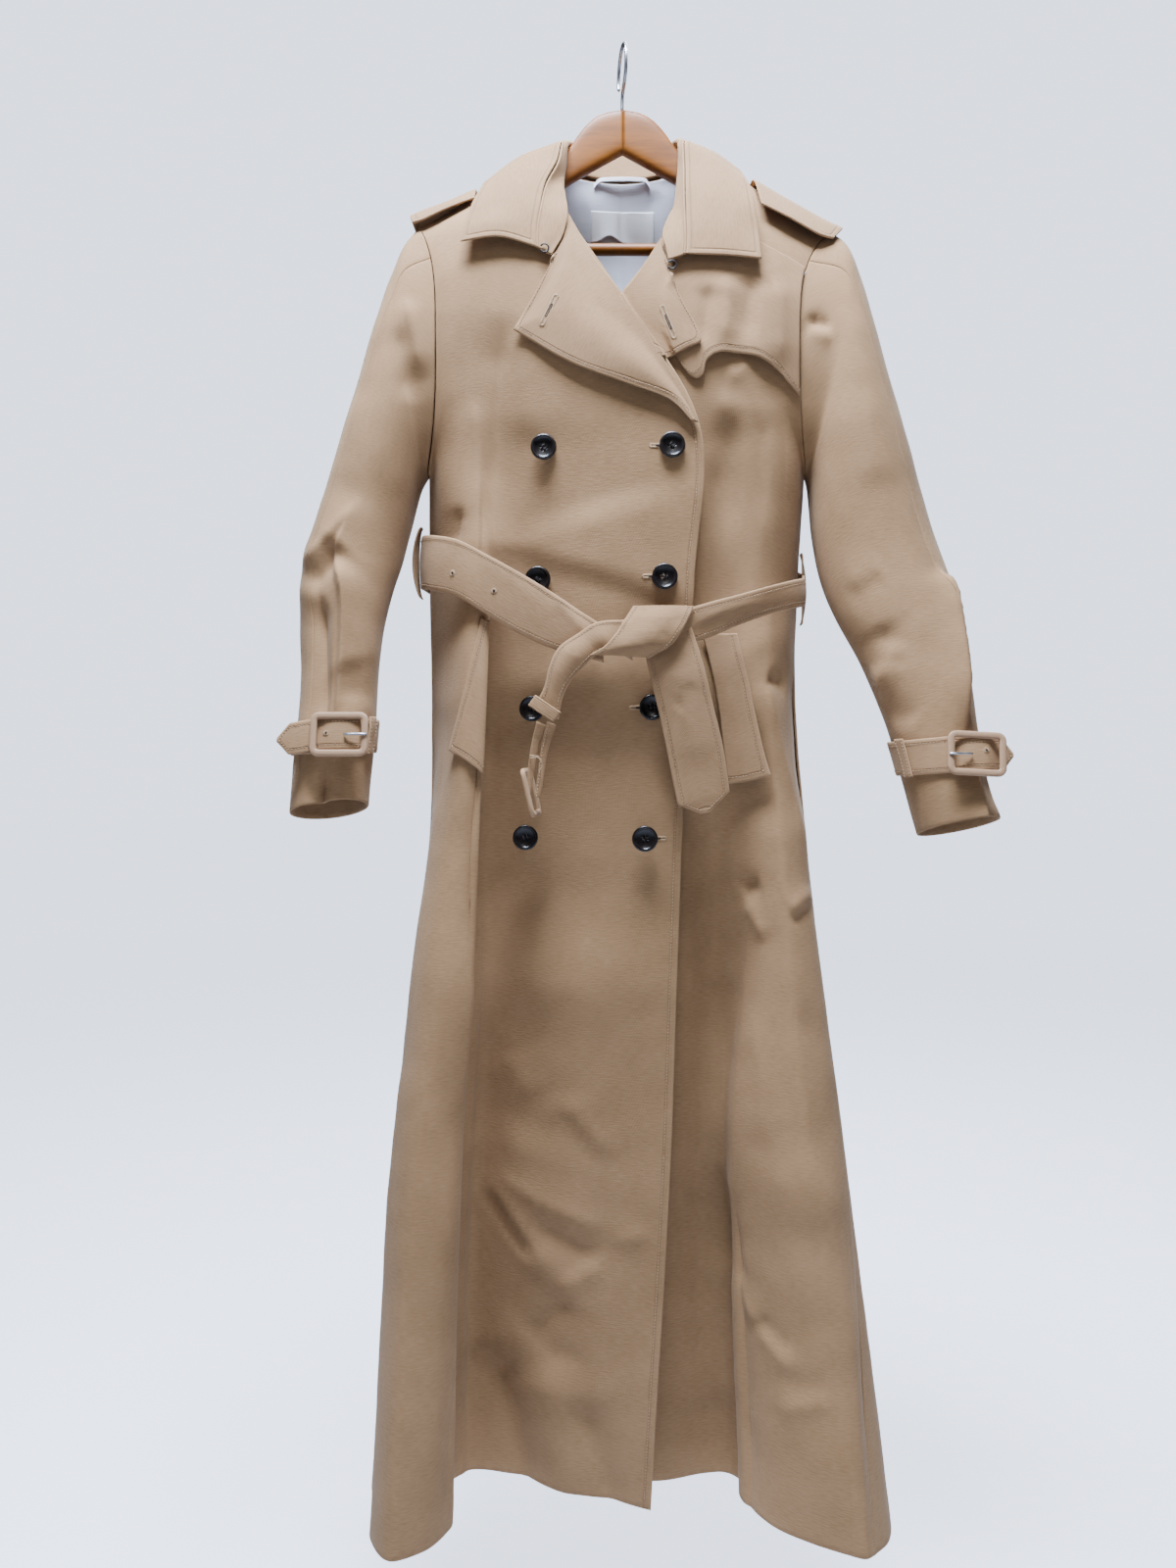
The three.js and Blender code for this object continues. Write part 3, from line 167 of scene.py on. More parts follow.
SLEEVE_LEFT = [
    ["mouth", [359, -785], [284, -797], -70, 45],
    ["cuff", [350, -744], [272, -752], -63, 46],
    ["wrist", [342, -700], [262, -708], -55, 47],
    ["forearm", [340, -652], [247, -662], -46, 48],
    ["fold", [336, -602], [229, -620], -38, 50],
    ["below", [327, -556], [212, -585], -30, 52],
    ["elbow", [306, -490], [199, -546], -20, 54],
    ["above", [284, -404], [191, -500], -14, 56],
    ["biceps", [265, -334], [189, -468], -10, 57],
    ["cap", [250, -276], [188, -452], -7, 56],
    ["crown", [238, -234], [187, -445], -5, 54],
    ["head", [225, -203], [186, -441], -4, 51],
]

FLAP_EDGE = [
    [1.12, 6.66, 2.8],
    [1.28, 6.5, 3.2],
    [1.9, 6.56, 4.5],
    [2.5, 6.79, 6],
    [3.2, 6.97, 7.5],
    [4.3, 7.1, 6],
    [5.4, 7.17, 9],
    [6.6, 7.16, 6],
    [7.9, 7.06, 4],
]

LAPEL_RIGHT = [
    [[-53, -48, -192], [-58, -54, -217], [-68, -58, -241]],
    [[-31, -56, -236], [-58, -66, -254], [-87, -64, -277]],
    [[-2, -62, -276], [-52, -72, -290], [-107, -68, -312]],
    [[17, -66, -307], [-17, -76, -324], [-51, -74, -346]],
    [[36, -68, -339], [19, -78, -352], [4, -76, -367]],
    [[57, -70, -376], [50, -76, -379], [45, -76, -383]],
    [[71, -71, -403], [67, -75, -402], [64, -75, -402]],
]

LAPEL_LEFT = [
    [[37, -46, -213], [38, -50, -228], [41, -55, -243]],
    [[20, -54, -242], [36, -58, -261], [57, -60, -283]],
    [[8, -57, -259], [38, -62, -289], [74, -64, -322]],
    [[-3, -58, -276], [26, -61, -303], [61, -64, -329]],
    [[11, -58, -303], [28, -60, -319], [49, -61, -335]],
    [[26, -59, -328], [30, -60, -333], [36, -60, -339]],
]

COLLAR = [
    [[-70, -60, -239], [-77, -62, -236], [-85, -62, -231], [-121, -64, -222], [-158, -62, -226]],
    [[-59, -56, -216], [-71, -58, -214], [-85, -58, -212], [-120, -61, -207], [-156, -58, -212]],
    [[-55, -49, -190], [-63, -50, -190], [-82, -52, -188], [-116, -54, -190], [-152, -50, -194]],
    [[-63, -22, -150], [-61, -20, -145], [-77, -40, -158], [-112, -45, -170], [-148, -42, -178]],
    [[-71, -14, -128], [-59, -13, -125], [-66, -28, -130], [-104, -30, -144], [-143, -28, -160]],
    [[-76, -8, -111], [-57, -10, -104], [-62, -14, -105], [-103, -12, -122], [-141, -10, -146]],
    [[-78, 2, -106], [-53, 2, -95], [-60, 4, -95], [-102, 4, -110], [-140, 4, -138]],
    [[-46, 33, -111], [-40, 38, -82], [-43, 42, -82], [-68, 54, -120], [-96, 58, -160]],
    [[0, 41, -114], [0, 52, -76], [0, 56, -76], [0, 66, -122], [0, 68, -170]],
    [[46, 33, -111], [42, 38, -82], [45, 42, -82], [68, 54, -120], [92, 58, -160]],
    [[78, 2, -106], [57, 2, -93], [63, 4, -93], [92, 4, -106], [118, 4, -125]],
    [[76, -8, -111], [58, -10, -106], [62, -14, -106], [92, -14, -120], [122, -12, -138]],
    [[71, -14, -128], [58, -13, -128], [62, -26, -131], [94, -30, -144], [126, -30, -158]],
    [[63, -22, -150], [55, -24, -156], [61, -42, -166], [94, -46, -176], [128, -46, -182]],
    [[38, -48, -212], [49, -50, -209], [61, -54, -206], [95, -57, -208], [131, -54, -213]],
    [[41, -55, -229], [51, -57, -226], [61, -58, -223], [96, -61, -226], [132, -59, -229]],
    [[43, -59, -242], [52, -60, -240], [60, -61, -237], [97, -63, -239], [133, -62, -242]],
]

EPAULETTE_RIGHT = [
    [[-148, 20, -158], [-148, -1, -146], [-148, -26, -166]],
    [[-178, 20, -172], [-178, -2, -160], [-178, -27, -178]],
    [[-202, 18, -183], [-204, -3, -170], [-201, -25, -188]],
    [[-211, 10, -184], [-215, -4, -175], [-210, -17, -187]],
]

EPAULETTE_LEFT = [
    [[128, 12, -141], [131, -8, -139], [135, -45, -181]],
    [[162, 12, -160], [166, -10, -161], [163, -45, -195]],
    [[202, 10, -181], [207, -10, -183], [194, -39, -209]],
    [[217, 5, -190], [222, -9, -189], [208, -31, -209]],
]

BELT = [
    ["knot", [-22, -78, -598], [-20, -77, -634]],
    ["front", [-61, -76, -572], [-68, -75, -621]],
    ["panel", [-94, -73, -551], [-103, -73, -605]],
    ["roll", [-133, -70, -529], [-133, -72, -587]],
    ["bend", [-160, -62, -514], [-160, -66, -570]],
    ["turn", [-186, -36, -504], [-186, -42, -560]],
    ["hip", [-202, -12, -499], [-203, -14, -554]],
    ["rightSide", [-206, 12, -498], [-206, 14, -550]],
    ["wing", [-194, 44, -500], [-196, 46, -552]],
    ["blade", [-158, 58, -505], [-160, 60, -557]],
    ["rear", [-80, 62, -512], [-80, 64, -564]],
    ["centre", [0, 64, -515], [0, 66, -567]],
    ["rearLeft", [80, 61, -516], [80, 63, -566]],
    ["bladeLeft", [152, 52, -520], [152, 54, -566]],
    ["wingLeft", [180, 34, -526], [180, 36, -566]],
    ["leftSide", [187, 6, -535], [187, 6, -568]],
    ["hipLeft", [181, -20, -543], [182, -20, -572]],
    ["slopeLeft", [165, -46, -550], [168, -42, -577]],
    ["lobeLeft", [140, -66, -559], [140, -60, -586]],
    ["panelLeft", [111, -74, -568], [111, -68, -597]],
    ["frontLeft", [85, -76, -575], [83, -72, -609]],
    ["knotLeft", [58, -77, -583], [48, -76, -620]],
]

KNOT = [
    [[8, -81, -580], [66, -80, -580], 4],
    [[0, -86, -593], [61, -86, -592], 6],
    [[-8, -89, -607], [54, -90, -605], 6],
    [[-21, -90.5, -620.5], [45, -90, -618], 5],
    [[-33, -88.5, -628], [23, -85, -631], 3],
]

POINTED_END = [
    [[17, -77, -612], [64, -77, -600], 1],
    [[21, -79.5, -634], [71, -79.5, -622], 2],
    [[25, -80, -652], [76, -80, -640], 3],
    [[34, -77, -688], [85, -77, -676], 2],
    [[43, -75, -731], [95, -74, -717], 1],
    [[51, -73, -770], [101, -72, -757], 1],
    [[74, -72, -779], [82, -72, -777], 0],
]

BUCKLE_END = [
    [[-44, -82, -606], [-25, -84, -626], 3],
    [[-63, -84, -620], [-36, -84, -636], 5],
    [[-72, -84, -638], [-49, -84, -650], 4],
    [[-77, -83, -658], [-58, -83, -666], 2],
    [[-84, -82, -672], [-63, -82, -689], 1],
]

UNDERARM = 6
TOP = len(LEVELS) - 1
TURNS = np.array([180 if row[2] is None else row[2] for row in LEVELS], float)

# The seam of each armhole: top, bottom, x half way, and how far it comes forward and back.
ARMHOLE = {
    "right": ([-207, -3, -186], [-197, -3, -438], -184, 49, 48),
    "left": ([212, -3, -190], [185, -3, -438], 172, 49, 48),
}


# ---------- lines and surfaces ----------
def lerp(a, b, t):
    return a + (b - a) * t


def unit(v):
    return v / np.maximum(np.linalg.norm(v, axis=-1, keepdims=True), 1e-9)


def places(first, last, steps):
    """Places from first to last with so many steps in each whole span."""
    return np.linspace(first, last, max(1, round(abs(last - first) * steps)) + 1)


def along(points, place):
    """A smooth line through points, read by place: 1.5 is half way from the second to the third point.
    Points are (n, 3), or (n, places, 3) where each place has a line of its own."""
    points = np.asarray(points, float)
    place = np.clip(np.asarray(place, float), 0, len(points) - 1)
    first = np.minimum(place.astype(int), len(points) - 2)
    padded = np.concatenate(
        [(2 * points[0] - points[1])[None], points, (2 * points[-1] - points[-2])[None]]
    )
    if points.ndim == 2:
        p0, p1, p2, p3 = (padded[first + k] for k in range(4))
    else:
        p0, p1, p2, p3 = (
            np.take_along_axis(padded, (first + k)[None, ..., None], 0)[0] for k in range(4)
        )
    a, b, c = (((q - p) ** 2).sum(-1, keepdims=True) ** 0.25 for p, q in ((p0, p1), (p1, p2), (p2, p3)))
    b = np.where(b < 1e-4, 1.0, b)
    a = np.where(a < 1e-4, b, a)
    c = np.where(c < 1e-4, b, c)
    t1 = ((p1 - p0) / a - (p2 - p0) / (a + b) + (p2 - p1) / b) * b
    t2 = ((p2 - p1) / b - (p3 - p1) / (b + c) + (p3 - p2) / c) * b
    w = (place - first)[..., None]
    return p1 + w * (t1 + w * (3 * (p2 - p1) - 2 * t1 - t2 + w * (2 * (p1 - p2) + t1 + t2)))


def line_through(points, corner=None):
    """A line by place; at a corner it turns sharply instead of smoothly."""
    points = np.asarray(points, float)
    if corner is None:
        return lambda place: along(points, place)

    def line(place):
        place = np.asarray(place, float)
        before, after = along(points[: corner + 1], place), along(points[corner:], place - corner)
        return np.where((place < corner)[..., None], before, after)

    return line


def surface(lines):
    """A surface over lines that run up the cloth, read by place across the lines and place up them."""

    def face(across, up):
        across, up = np.broadcast_arrays(np.asarray(across, float), np.asarray(up, float))
        return along(np.stack([line(up) for line in lines]), across)

    return face


def grid_on(face, across, up):
    return face(np.asarray(across, float)[None, :], np.asarray(up, float)[:, None])


def outward(grid, closed=False):
    """The direction out of the cloth at each point; columns run on to the right, seen from outside."""
    if closed:
        across = np.roll(grid, -1, 1) - np.roll(grid, 1, 1)
    else:
        across = np.gradient(grid, axis=1)
    return unit(np.cross(across, np.gradient(grid, axis=0)))


def moved_out(face, across, up, lift):
    """A point of a surface moved straight out of it."""
    across, up = np.broadcast_arrays(np.asarray(across, float), np.asarray(up, float))
    step = 0.05
    side = face(across + step, up) - face(across - step, up)
    rise = face(across, up + step) - face(across, up - step)
    return face(across, up) + unit(np.cross(side, rise)) * np.asarray(lift, float)[..., None]


def tree_of(*grids):
    """What rays meet: the outer faces of some sheets."""
    points, faces = [], []
    for grid in grids:
        rows, columns = grid.shape[:2]
        start = len(points)
        points += grid.reshape(-1, 3).tolist()
        k = start + np.arange(rows * columns).reshape(rows, columns)
        faces += np.stack([k[:-1, :-1], k[:-1, 1:], k[1:, 1:], k[1:, :-1]], -1).reshape(-1, 4).tolist()
    return BVHTree.FromPolygons(points, faces)


IN_FRONT = -400.0  # well in front of the coat


def front_at(tree, x, z, otherwise=None):
    """How far back the first cloth is on a line of sight along Y."""
    hit = tree.ray_cast(Vector((x, IN_FRONT, z)), Vector((0, 1, 0)))[0]
    return otherwise if hit is None else hit.y


def relaxed(values, closed=False):
    """Each value of a grid drawn half way to the mean of its neighbours."""
    edge = np.pad(values, 1, mode="edge")
    mean = (edge[:-2, 1:-1] + edge[2:, 1:-1] + edge[1:-1, :-2] + edge[1:-1, 2:]) / 4
    return (values + mean) / 2


def laid_over(grid, tree, lift, rounds=6):
    """Lays a grid in front of the cloth below it, no closer than the lift, and softens where it rests."""
    grid = grid.copy()
    below = np.array([[front_at(tree, p[0], p[2], 1e6) for p in row] for row in grid]) - lift
    grid[..., 1] = np.minimum(grid[..., 1], below)
    for _ in range(rounds):
        grid[..., 1] = np.minimum(relaxed(grid[..., 1]), below)
    return grid


def eased(t):
    return t * t * (3 - 2 * t)


CREASE_POINTS = 25  # along a crease's line
CREASE_FADE = 0.3  # share of its length over which each end dies away
CREASE_TURN = 2.5  # how late it is lost where the cloth turns away
CREASE_REACH = 4  # times its own reach, past which it is nothing


def pressed(grid, folds, closed=False):
    """Raises soft ridges, or sinks troughs where the height is below 0, along listed lines.
    Each row: facing (-1 front, 1 rear), points x and z, reach, height, roundness of the crest, and for a
    step a lean: 1 keeps the cloth up on the left of the line's direction, -1 on its right."""
    normals = outward(grid, closed)
    push = np.zeros(grid.shape[:2])
    flat = grid[..., [0, 2]]
    for facing, path, reach, height, crest, *lean in folds:
        line = along([[x, 0, z] for x, z in path], np.linspace(0, len(path) - 1, CREASE_POINTS))[:, [0, 2]]
        low, high = line.min(0) - CREASE_REACH * reach, line.max(0) + CREASE_REACH * reach
        near = ((flat > low) & (flat < high)).all(-1) & (normals[..., 1] * facing > 0.02)
        p, a, step = flat[near][:, None], line[:-1], np.diff(line, axis=0)
        t = np.clip(((p - a) * step).sum(-1) / (step**2).sum(-1), 0, 1)
        off = p - a - t[..., None] * step
        gap = np.linalg.norm(off, axis=-1)
        k = gap.argmin(1)
        pick = np.arange(len(k))
        place = (k + t[pick, k]) / len(step)
        fade = eased(np.clip(np.minimum(place, 1 - place) / CREASE_FADE, 0, 1))
        turn = np.clip(normals[..., 1][near] * facing * CREASE_TURN, 0, 1)
        shape = np.exp((crest - np.hypot(gap[pick, k], crest)) / reach)
        if lean:
            off = off[pick, k]
            left = (step[k, 0] * off[:, 1] - step[k, 1] * off[:, 0]) / np.linalg.norm(step[k], axis=-1)
            shape = shape * (1 + lean[0] * left / np.hypot(left, crest))
        push[near] += height * fade * turn * shape
    return grid + normals * push[..., None]


WAVE_SIZE = 72
WAVE_START = Vector((7.3, 3.1, 5.7))  # one place in the noise, so pieces that share a seam move together
FINE_WAVES = 0.35  # their height, of the long waves' height
FINER = 3.1


def waved(grid, amount, closed=False):
    """Cloth never hangs quite flat: long soft waves, taller than wide, and finer ones in them."""
    push = [
        noise.noise(Vector((x, y, z / 2.2)) / WAVE_SIZE + WAVE_START)
        + FINE_WAVES * noise.noise(Vector((x, y, z / 1.3)) * (FINER / WAVE_SIZE) + WAVE_START)
        for x, y, z in grid.reshape(-1, 3).tolist()
    ]
    return grid + outward(grid, closed) * amount * np.array(push).reshape(grid.shape[:2])[..., None]


# ---------- meshes ----------
def make_mesh(name, points, faces, material):
    mesh = bpy.data.meshes.new(name)
    mesh.from_pydata((np.asarray(points, float) * MM).tolist(), [], [list(map(int, f)) for f in faces])
    mesh.materials.append(material)
    mesh.polygons.foreach_set("use_smooth", [True] * len(mesh.polygons))
    mesh.update()
    piece = bpy.data.objects.new(name, mesh)
    bpy.context.collection.objects.link(piece)
    return piece


def joined(parts):
    """Several lists of points and faces as one."""
    points, faces, start = [], [], 0
    for some, around in parts:
        points.append(np.asarray(some, float))
        faces += [[start + k for k in face] for face in around]
        start += len(some)
    return np.concatenate(points), faces


def runs(grid, axis):
    """How far each point is along its row or column from the first one."""
    steps = np.linalg.norm(np.diff(grid, axis=axis), axis=-1)
    zero = np.zeros_like(np.take(steps, [0], axis))
    return np.concatenate([zero, np.cumsum(steps, axis=axis)], axis)


def with_rims(grid, closed):
    """A line of points just inside each free side, where the roll of the edge begins."""
    for axis in (0,) if closed else (0, 1):
        for last in (False, True):
            line = np.flip(grid, axis) if last else grid
            edge, inner = np.take(line, 0, axis), np.take(line, 1, axis)
            reach = np.linalg.norm(inner - edge, axis=-1, keepdims=True)
            rim = edge + (inner - edge) * np.minimum(0.5, RIM / np.maximum(reach, 1e-6))
            line = np.insert(line, 1, rim, axis)
            grid = np.flip(line, axis) if last else line
    return grid


NO_SEAM = 9.0


def stitched_at(grid, sides, inset):
    """For each point, how far it is from a stitched side, where the stitches are at 1."""
    reach = np.full(grid.shape[:2], NO_SEAM)
    across, up = runs(grid, 1), runs(grid, 0)
    far = {"left": across, "right": across[:, -1:] - across, "bottom": up, "top": up[-1:] - up}
    for side in sides:
        reach = np.minimum(reach, far[side] / inset)
    return reach


ROLLED = 0.3  # share of the wall that each face of a folded edge turns in


def shell(name, grid, wall, material, closed=False, sides=(), inset=6.5):
    """A sheet of cloth: the outer face, the inner face one wall behind it, and rolled edges all round."""
    grid = with_rims(grid, closed)
    rows, columns = grid.shape[:2]
    normals = outward(grid, closed)
    sunk = np.zeros((rows, columns, 1))
    sunk[[0, -1]] = ROLLED
    if not closed:
        sunk[:, [0, -1]] = ROLLED
    outer = grid - normals * wall * sunk
    inner = grid - normals * wall * (1 - sunk)
    k = np.arange(rows * columns).reshape(rows, columns)
    if closed:
        k = np.concatenate([k, k[:, :1]], 1)
    quads = np.stack([k[:-1, :-1], k[:-1, 1:], k[1:, 1:], k[1:, :-1]], -1).reshape(-1, 4)
    count = rows * columns
    faces = [quads, quads[:, ::-1] + count]
    rims = [k[0], k[-1][::-1]] if closed else [k[0], k[:, -1], k[-1][::-1], k[::-1, 0]]
    for rim in rims:
        a, b = rim[:-1], rim[1:]
        faces.append(np.stack([a, a + count, b + count, b], -1))
    faces = np.concatenate(faces)
    points = np.concatenate([outer.reshape(-1, 3), inner.reshape(-1, 3)])
    piece = make_mesh(name, points, faces, material)
    mesh = piece.data
    flat = np.stack([runs(grid, 1), runs(grid, 0)], -1).reshape(-1, 2) * MM
    flat = np.concatenate([flat, flat])
    corners = np.zeros(len(mesh.loops), int)
    mesh.loops.foreach_get("vertex_index", corners)
    mesh.uv_layers.new(name="cloth").data.foreach_set("uv", flat[corners].ravel())
    reach = stitched_at(grid, sides, inset).ravel()
    mesh.attributes.new("seam", "FLOAT", "POINT").data.foreach_set("value", np.concatenate([reach, reach]))
    return piece


def seam_line(grid, side, inset, first=0.0, last=0.0, lift=0.25):
    """A line on a sheet at one distance from a side, cut short by so much at its ends."""
    normals = outward(grid)
    if side in ("bottom", "top"):
        grid, normals = grid.transpose(1, 0, 2), normals.transpose(1, 0, 2)
    if side in ("right", "top"):
        grid, normals = grid[:, ::-1], normals[:, ::-1]
    points = []
    for row, out, reach in zip(grid, normals, runs(grid, 1)):
        at = [np.interp(inset, reach, row[:, axis] + lift * out[:, axis]) for axis in range(3)]
        points.append(at)
    points = np.array(points)
    far = np.concatenate([[0], np.cumsum(np.linalg.norm(np.diff(points, axis=0), axis=1))])
    keep = np.linspace(first, far[-1] - last, max(2, int(far[-1] / 4)))
    return np.stack([np.interp(keep, far, points[:, axis]) for axis in range(3)], 1)


def frames_along(points, closed=False):
    """Two directions across a line at each of its points, carried along without a twist."""
    points = np.asarray(points, float)
    if closed:
        ahead = np.roll(points, -1, 0) - np.roll(points, 1, 0)
    else:
        ahead = np.gradient(points, axis=0)
    ahead = unit(ahead)
    side = np.cross(ahead[0], [0, 1, 0] if abs(ahead[0][1]) < 0.9 else [1, 0, 0])
    sides = []
    for direction in ahead:
        side = unit(side - direction * side.dot(direction))
        sides.append(side)
    sides = np.array(sides)
    return sides, np.cross(ahead, sides)


def tube(points, radius, around=12, closed=False):
    """A round wire, cord or thread along a line; radius may change along it."""
    points = np.asarray(points, float)
    one, two = frames_along(points, closed)
    radius = np.broadcast_to(np.asarray(radius, float), len(points))[:, None, None]
    angle = np.linspace(0, 2 * np.pi, around, endpoint=False)[None, :, None]
    ring = points[:, None] + radius * (one[:, None] * np.cos(angle) + two[:, None] * np.sin(angle))
    n = len(points)
    k = np.arange(n * around).reshape(n, around)
    k = np.concatenate([k, k[:, :1]], 1)
    if closed:
        k = np.concatenate([k, k[:1]], 0)
    faces = np.stack([k[:-1, :-1], k[:-1, 1:], k[1:, 1:], k[1:, :-1]], -1).reshape(-1, 4).tolist()
    if not closed:
        faces += [list(range(around))[::-1], list(range((n - 1) * around, n * around))]
    return ring.reshape(-1, 3), faces


def turned_profile(profile, around):
    """A round piece from a profile of radius and height, closed at the axis."""
    angle = np.linspace(0, 2 * np.pi, around, endpoint=False)
    points = [[r * math.cos(a), r * math.sin(a), h] for r, h in profile for a in angle]
    k = np.arange(len(profile) * around).reshape(-1, around)
    k = np.concatenate([k, k[:, :1]], 1)
    faces = np.stack([k[:-1, :-1], k[:-1, 1:], k[1:, 1:], k[1:, :-1]], -1).reshape(-1, 4).tolist()
    faces += [list(range(around))[::-1], list(range(len(points) - around, len(points)))]
    return np.array(points), faces


def smooth_path(points, steps):
    return along(points, places(0, len(points) - 1, steps))


# ---------- colours and materials ----------
def colour(code):
    """An sRGB hex code as a linear colour."""
    parts = [int(code[k : k + 2], 16) / 255 for k in (0, 2, 4)]
    return [*(c / 12.92 if c <= 0.04045 else ((c + 0.055) / 1.055) ** 2.4 for c in parts), 1.0]


def add_node(tree, kind, inputs=None, **settings):
    """One node with its settings; an input is a value or the output of another node."""
    new = tree.nodes.new(kind)
    for name, value in settings.items():
        setattr(new, name, value)
    for key, value in (inputs or {}).items():
        socket = next(s for s in new.inputs if key in (s.identifier, s.name) and s.enabled)
        if isinstance(value, bpy.types.NodeSocket):
            tree.links.new(value, socket)
        else:
            socket.default_value = value
    return new


def out(node, key=0):
    return node.outputs[key] if isinstance(key, int) else next(s for s in node.outputs if key == s.identifier)


def new_material(name):
    material = bpy.data.materials.new(name)
    material.use_nodes = True
    material.node_tree.nodes.clear()
    return material, material.node_tree


def finished(tree, shader):
    add_node(tree, "ShaderNodeOutputMaterial", {"Surface": out(shader)})


RIB = 0.0013  # metres from one diagonal rib to the next; real ones are about 0.0004
WAVE_SCALE = 2 * math.pi / 20  # what a wave texture needs for one band a metre
RIB_SLANT = math.radians(-27)


def cotton_gabardine(name, light, dark, edge_light):
    """Tightly woven cotton twill, piece-dyed: dead matt from the front, a faint bloom at grazing angles,
    slubs that run across it, a diagonal rib of under half a millimetre drawn 1.3 mm wide so that it shows,
    and a groove with a rolled, slightly paler edge where the topstitching pulls the layers together;
    the groove's colour is darkened with painted shade."""
    material, tree = new_material(name)
    flat = out(add_node(tree, "ShaderNodeUVMap", uv_map="cloth"))
    clouds = add_node(tree, "ShaderNodeTexNoise", {"Vector": flat, "Scale": 6.0, "Detail": 2.0})
    patches = add_node(tree, "ShaderNodeTexNoise", {"Vector": flat, "Scale": 31.0, "Detail": 3.0})
    # Slubs: thick places of the yarn, 8 mm long and 1.4 mm high; real ones are a third of that.
    slub_space = add_node(
        tree,
        "ShaderNodeVectorMath",
        {"Vector": flat, "Vector_001": (120.0, 700.0, 1.0)},
        operation="MULTIPLY",
    )
    slubs = add_node(tree, "ShaderNodeTexNoise", {"Vector": out(slub_space), "Scale": 1.0, "Detail": 3.0})
    rib_space = add_node(tree, "ShaderNodeMapping", {"Vector": flat, "Rotation": (0.0, 0.0, RIB_SLANT)})
    rib = add_node(
        tree,
        "ShaderNodeTexWave",
        {"Vector": out(rib_space), "Scale": WAVE_SCALE / RIB, "Distortion": 0.6, "Detail": 1.0},
    )
    tone = 0.0
    for texture, share in ((clouds, 0.55), (patches, 0.25), (slubs, 0.55)):
        added = {"Value": out(texture), "Value_001": share, "Value_002": tone}
        tone = out(add_node(tree, "ShaderNodeMath", added, operation="MULTIPLY_ADD"))
    spread = add_node(
        tree, "ShaderNodeMapRange", {"Value": tone, "From Min": 0.45, "From Max": 0.9}, clamp=True
    )
    base = add_node(
        tree,
        "ShaderNodeMix",
        {"Factor_Float": out(spread), "A_Color": colour(dark), "B_Color": colour(light)},
        data_type="RGBA",
    )
    seam = out(add_node(tree, "ShaderNodeAttribute", attribute_name="seam"), 2)
    away = add_node(tree, "ShaderNodeMath", {"Value": seam, "Value_001": 1.0}, operation="SUBTRACT")
    near = add_node(tree, "ShaderNodeMath", {"Value": out(away)}, operation="ABSOLUTE")
    groove = add_node(
        tree,
        "ShaderNodeMapRange",
        {"Value": out(near), "From Min": 0.0, "From Max": 0.32, "To Min": 1.0, "To Max": 0.0},
        interpolation_type="SMOOTHSTEP",
    )
    edge = add_node(
        tree,
        "ShaderNodeMapRange",
        {"Value": seam, "From Min": 0.0, "From Max": 0.45, "To Min": 0.3, "To Max": 0.0},
        interpolation_type="SMOOTHSTEP",
    )
    rolled = add_node(
        tree,
        "ShaderNodeMix",
        {"Factor_Float": out(edge), "A_Color": out(base, "Result_Color"), "B_Color": colour(edge_light)},
        data_type="RGBA",
    )
    # Painted shade: the stitching groove's colour is pulled towards dark brown, as shade would fall in it.
    sunk = add_node(tree, "ShaderNodeMath", {"Value": out(groove), "Value_001": 0.22}, operation="MULTIPLY")
    groove_shaded = add_node(
        tree,
        "ShaderNodeMix",
        {"Factor_Float": out(sunk), "A_Color": out(rolled, "Result_Color"), "B_Color": colour("5e4936")},
        data_type="RGBA",
    )
    height = out(slubs)
    for texture, share in ((rib, 0.16), (groove, -2.2)):
        raised = {"Value": out(texture), "Value_001": share, "Value_002": height}
        height = out(add_node(tree, "ShaderNodeMath", raised, operation="MULTIPLY_ADD"))
    bump = add_node(tree, "ShaderNodeBump", {"Height": height, "Strength": 0.55, "Distance": 0.0004})
    shader = add_node(
        tree,
        "ShaderNodeBsdfPrincipled",
        {
            "Base Color": out(groove_shaded, "Result_Color"),
            "Roughness": 0.86,
            "Specular IOR Level": 0.28,
            "Sheen Weight": 0.12,
            "Sheen Roughness": 0.42,
            "Sheen Tint": colour("eae4d8"),
            "Normal": out(bump),
        },
    )
    finished(tree, shader)
    return material


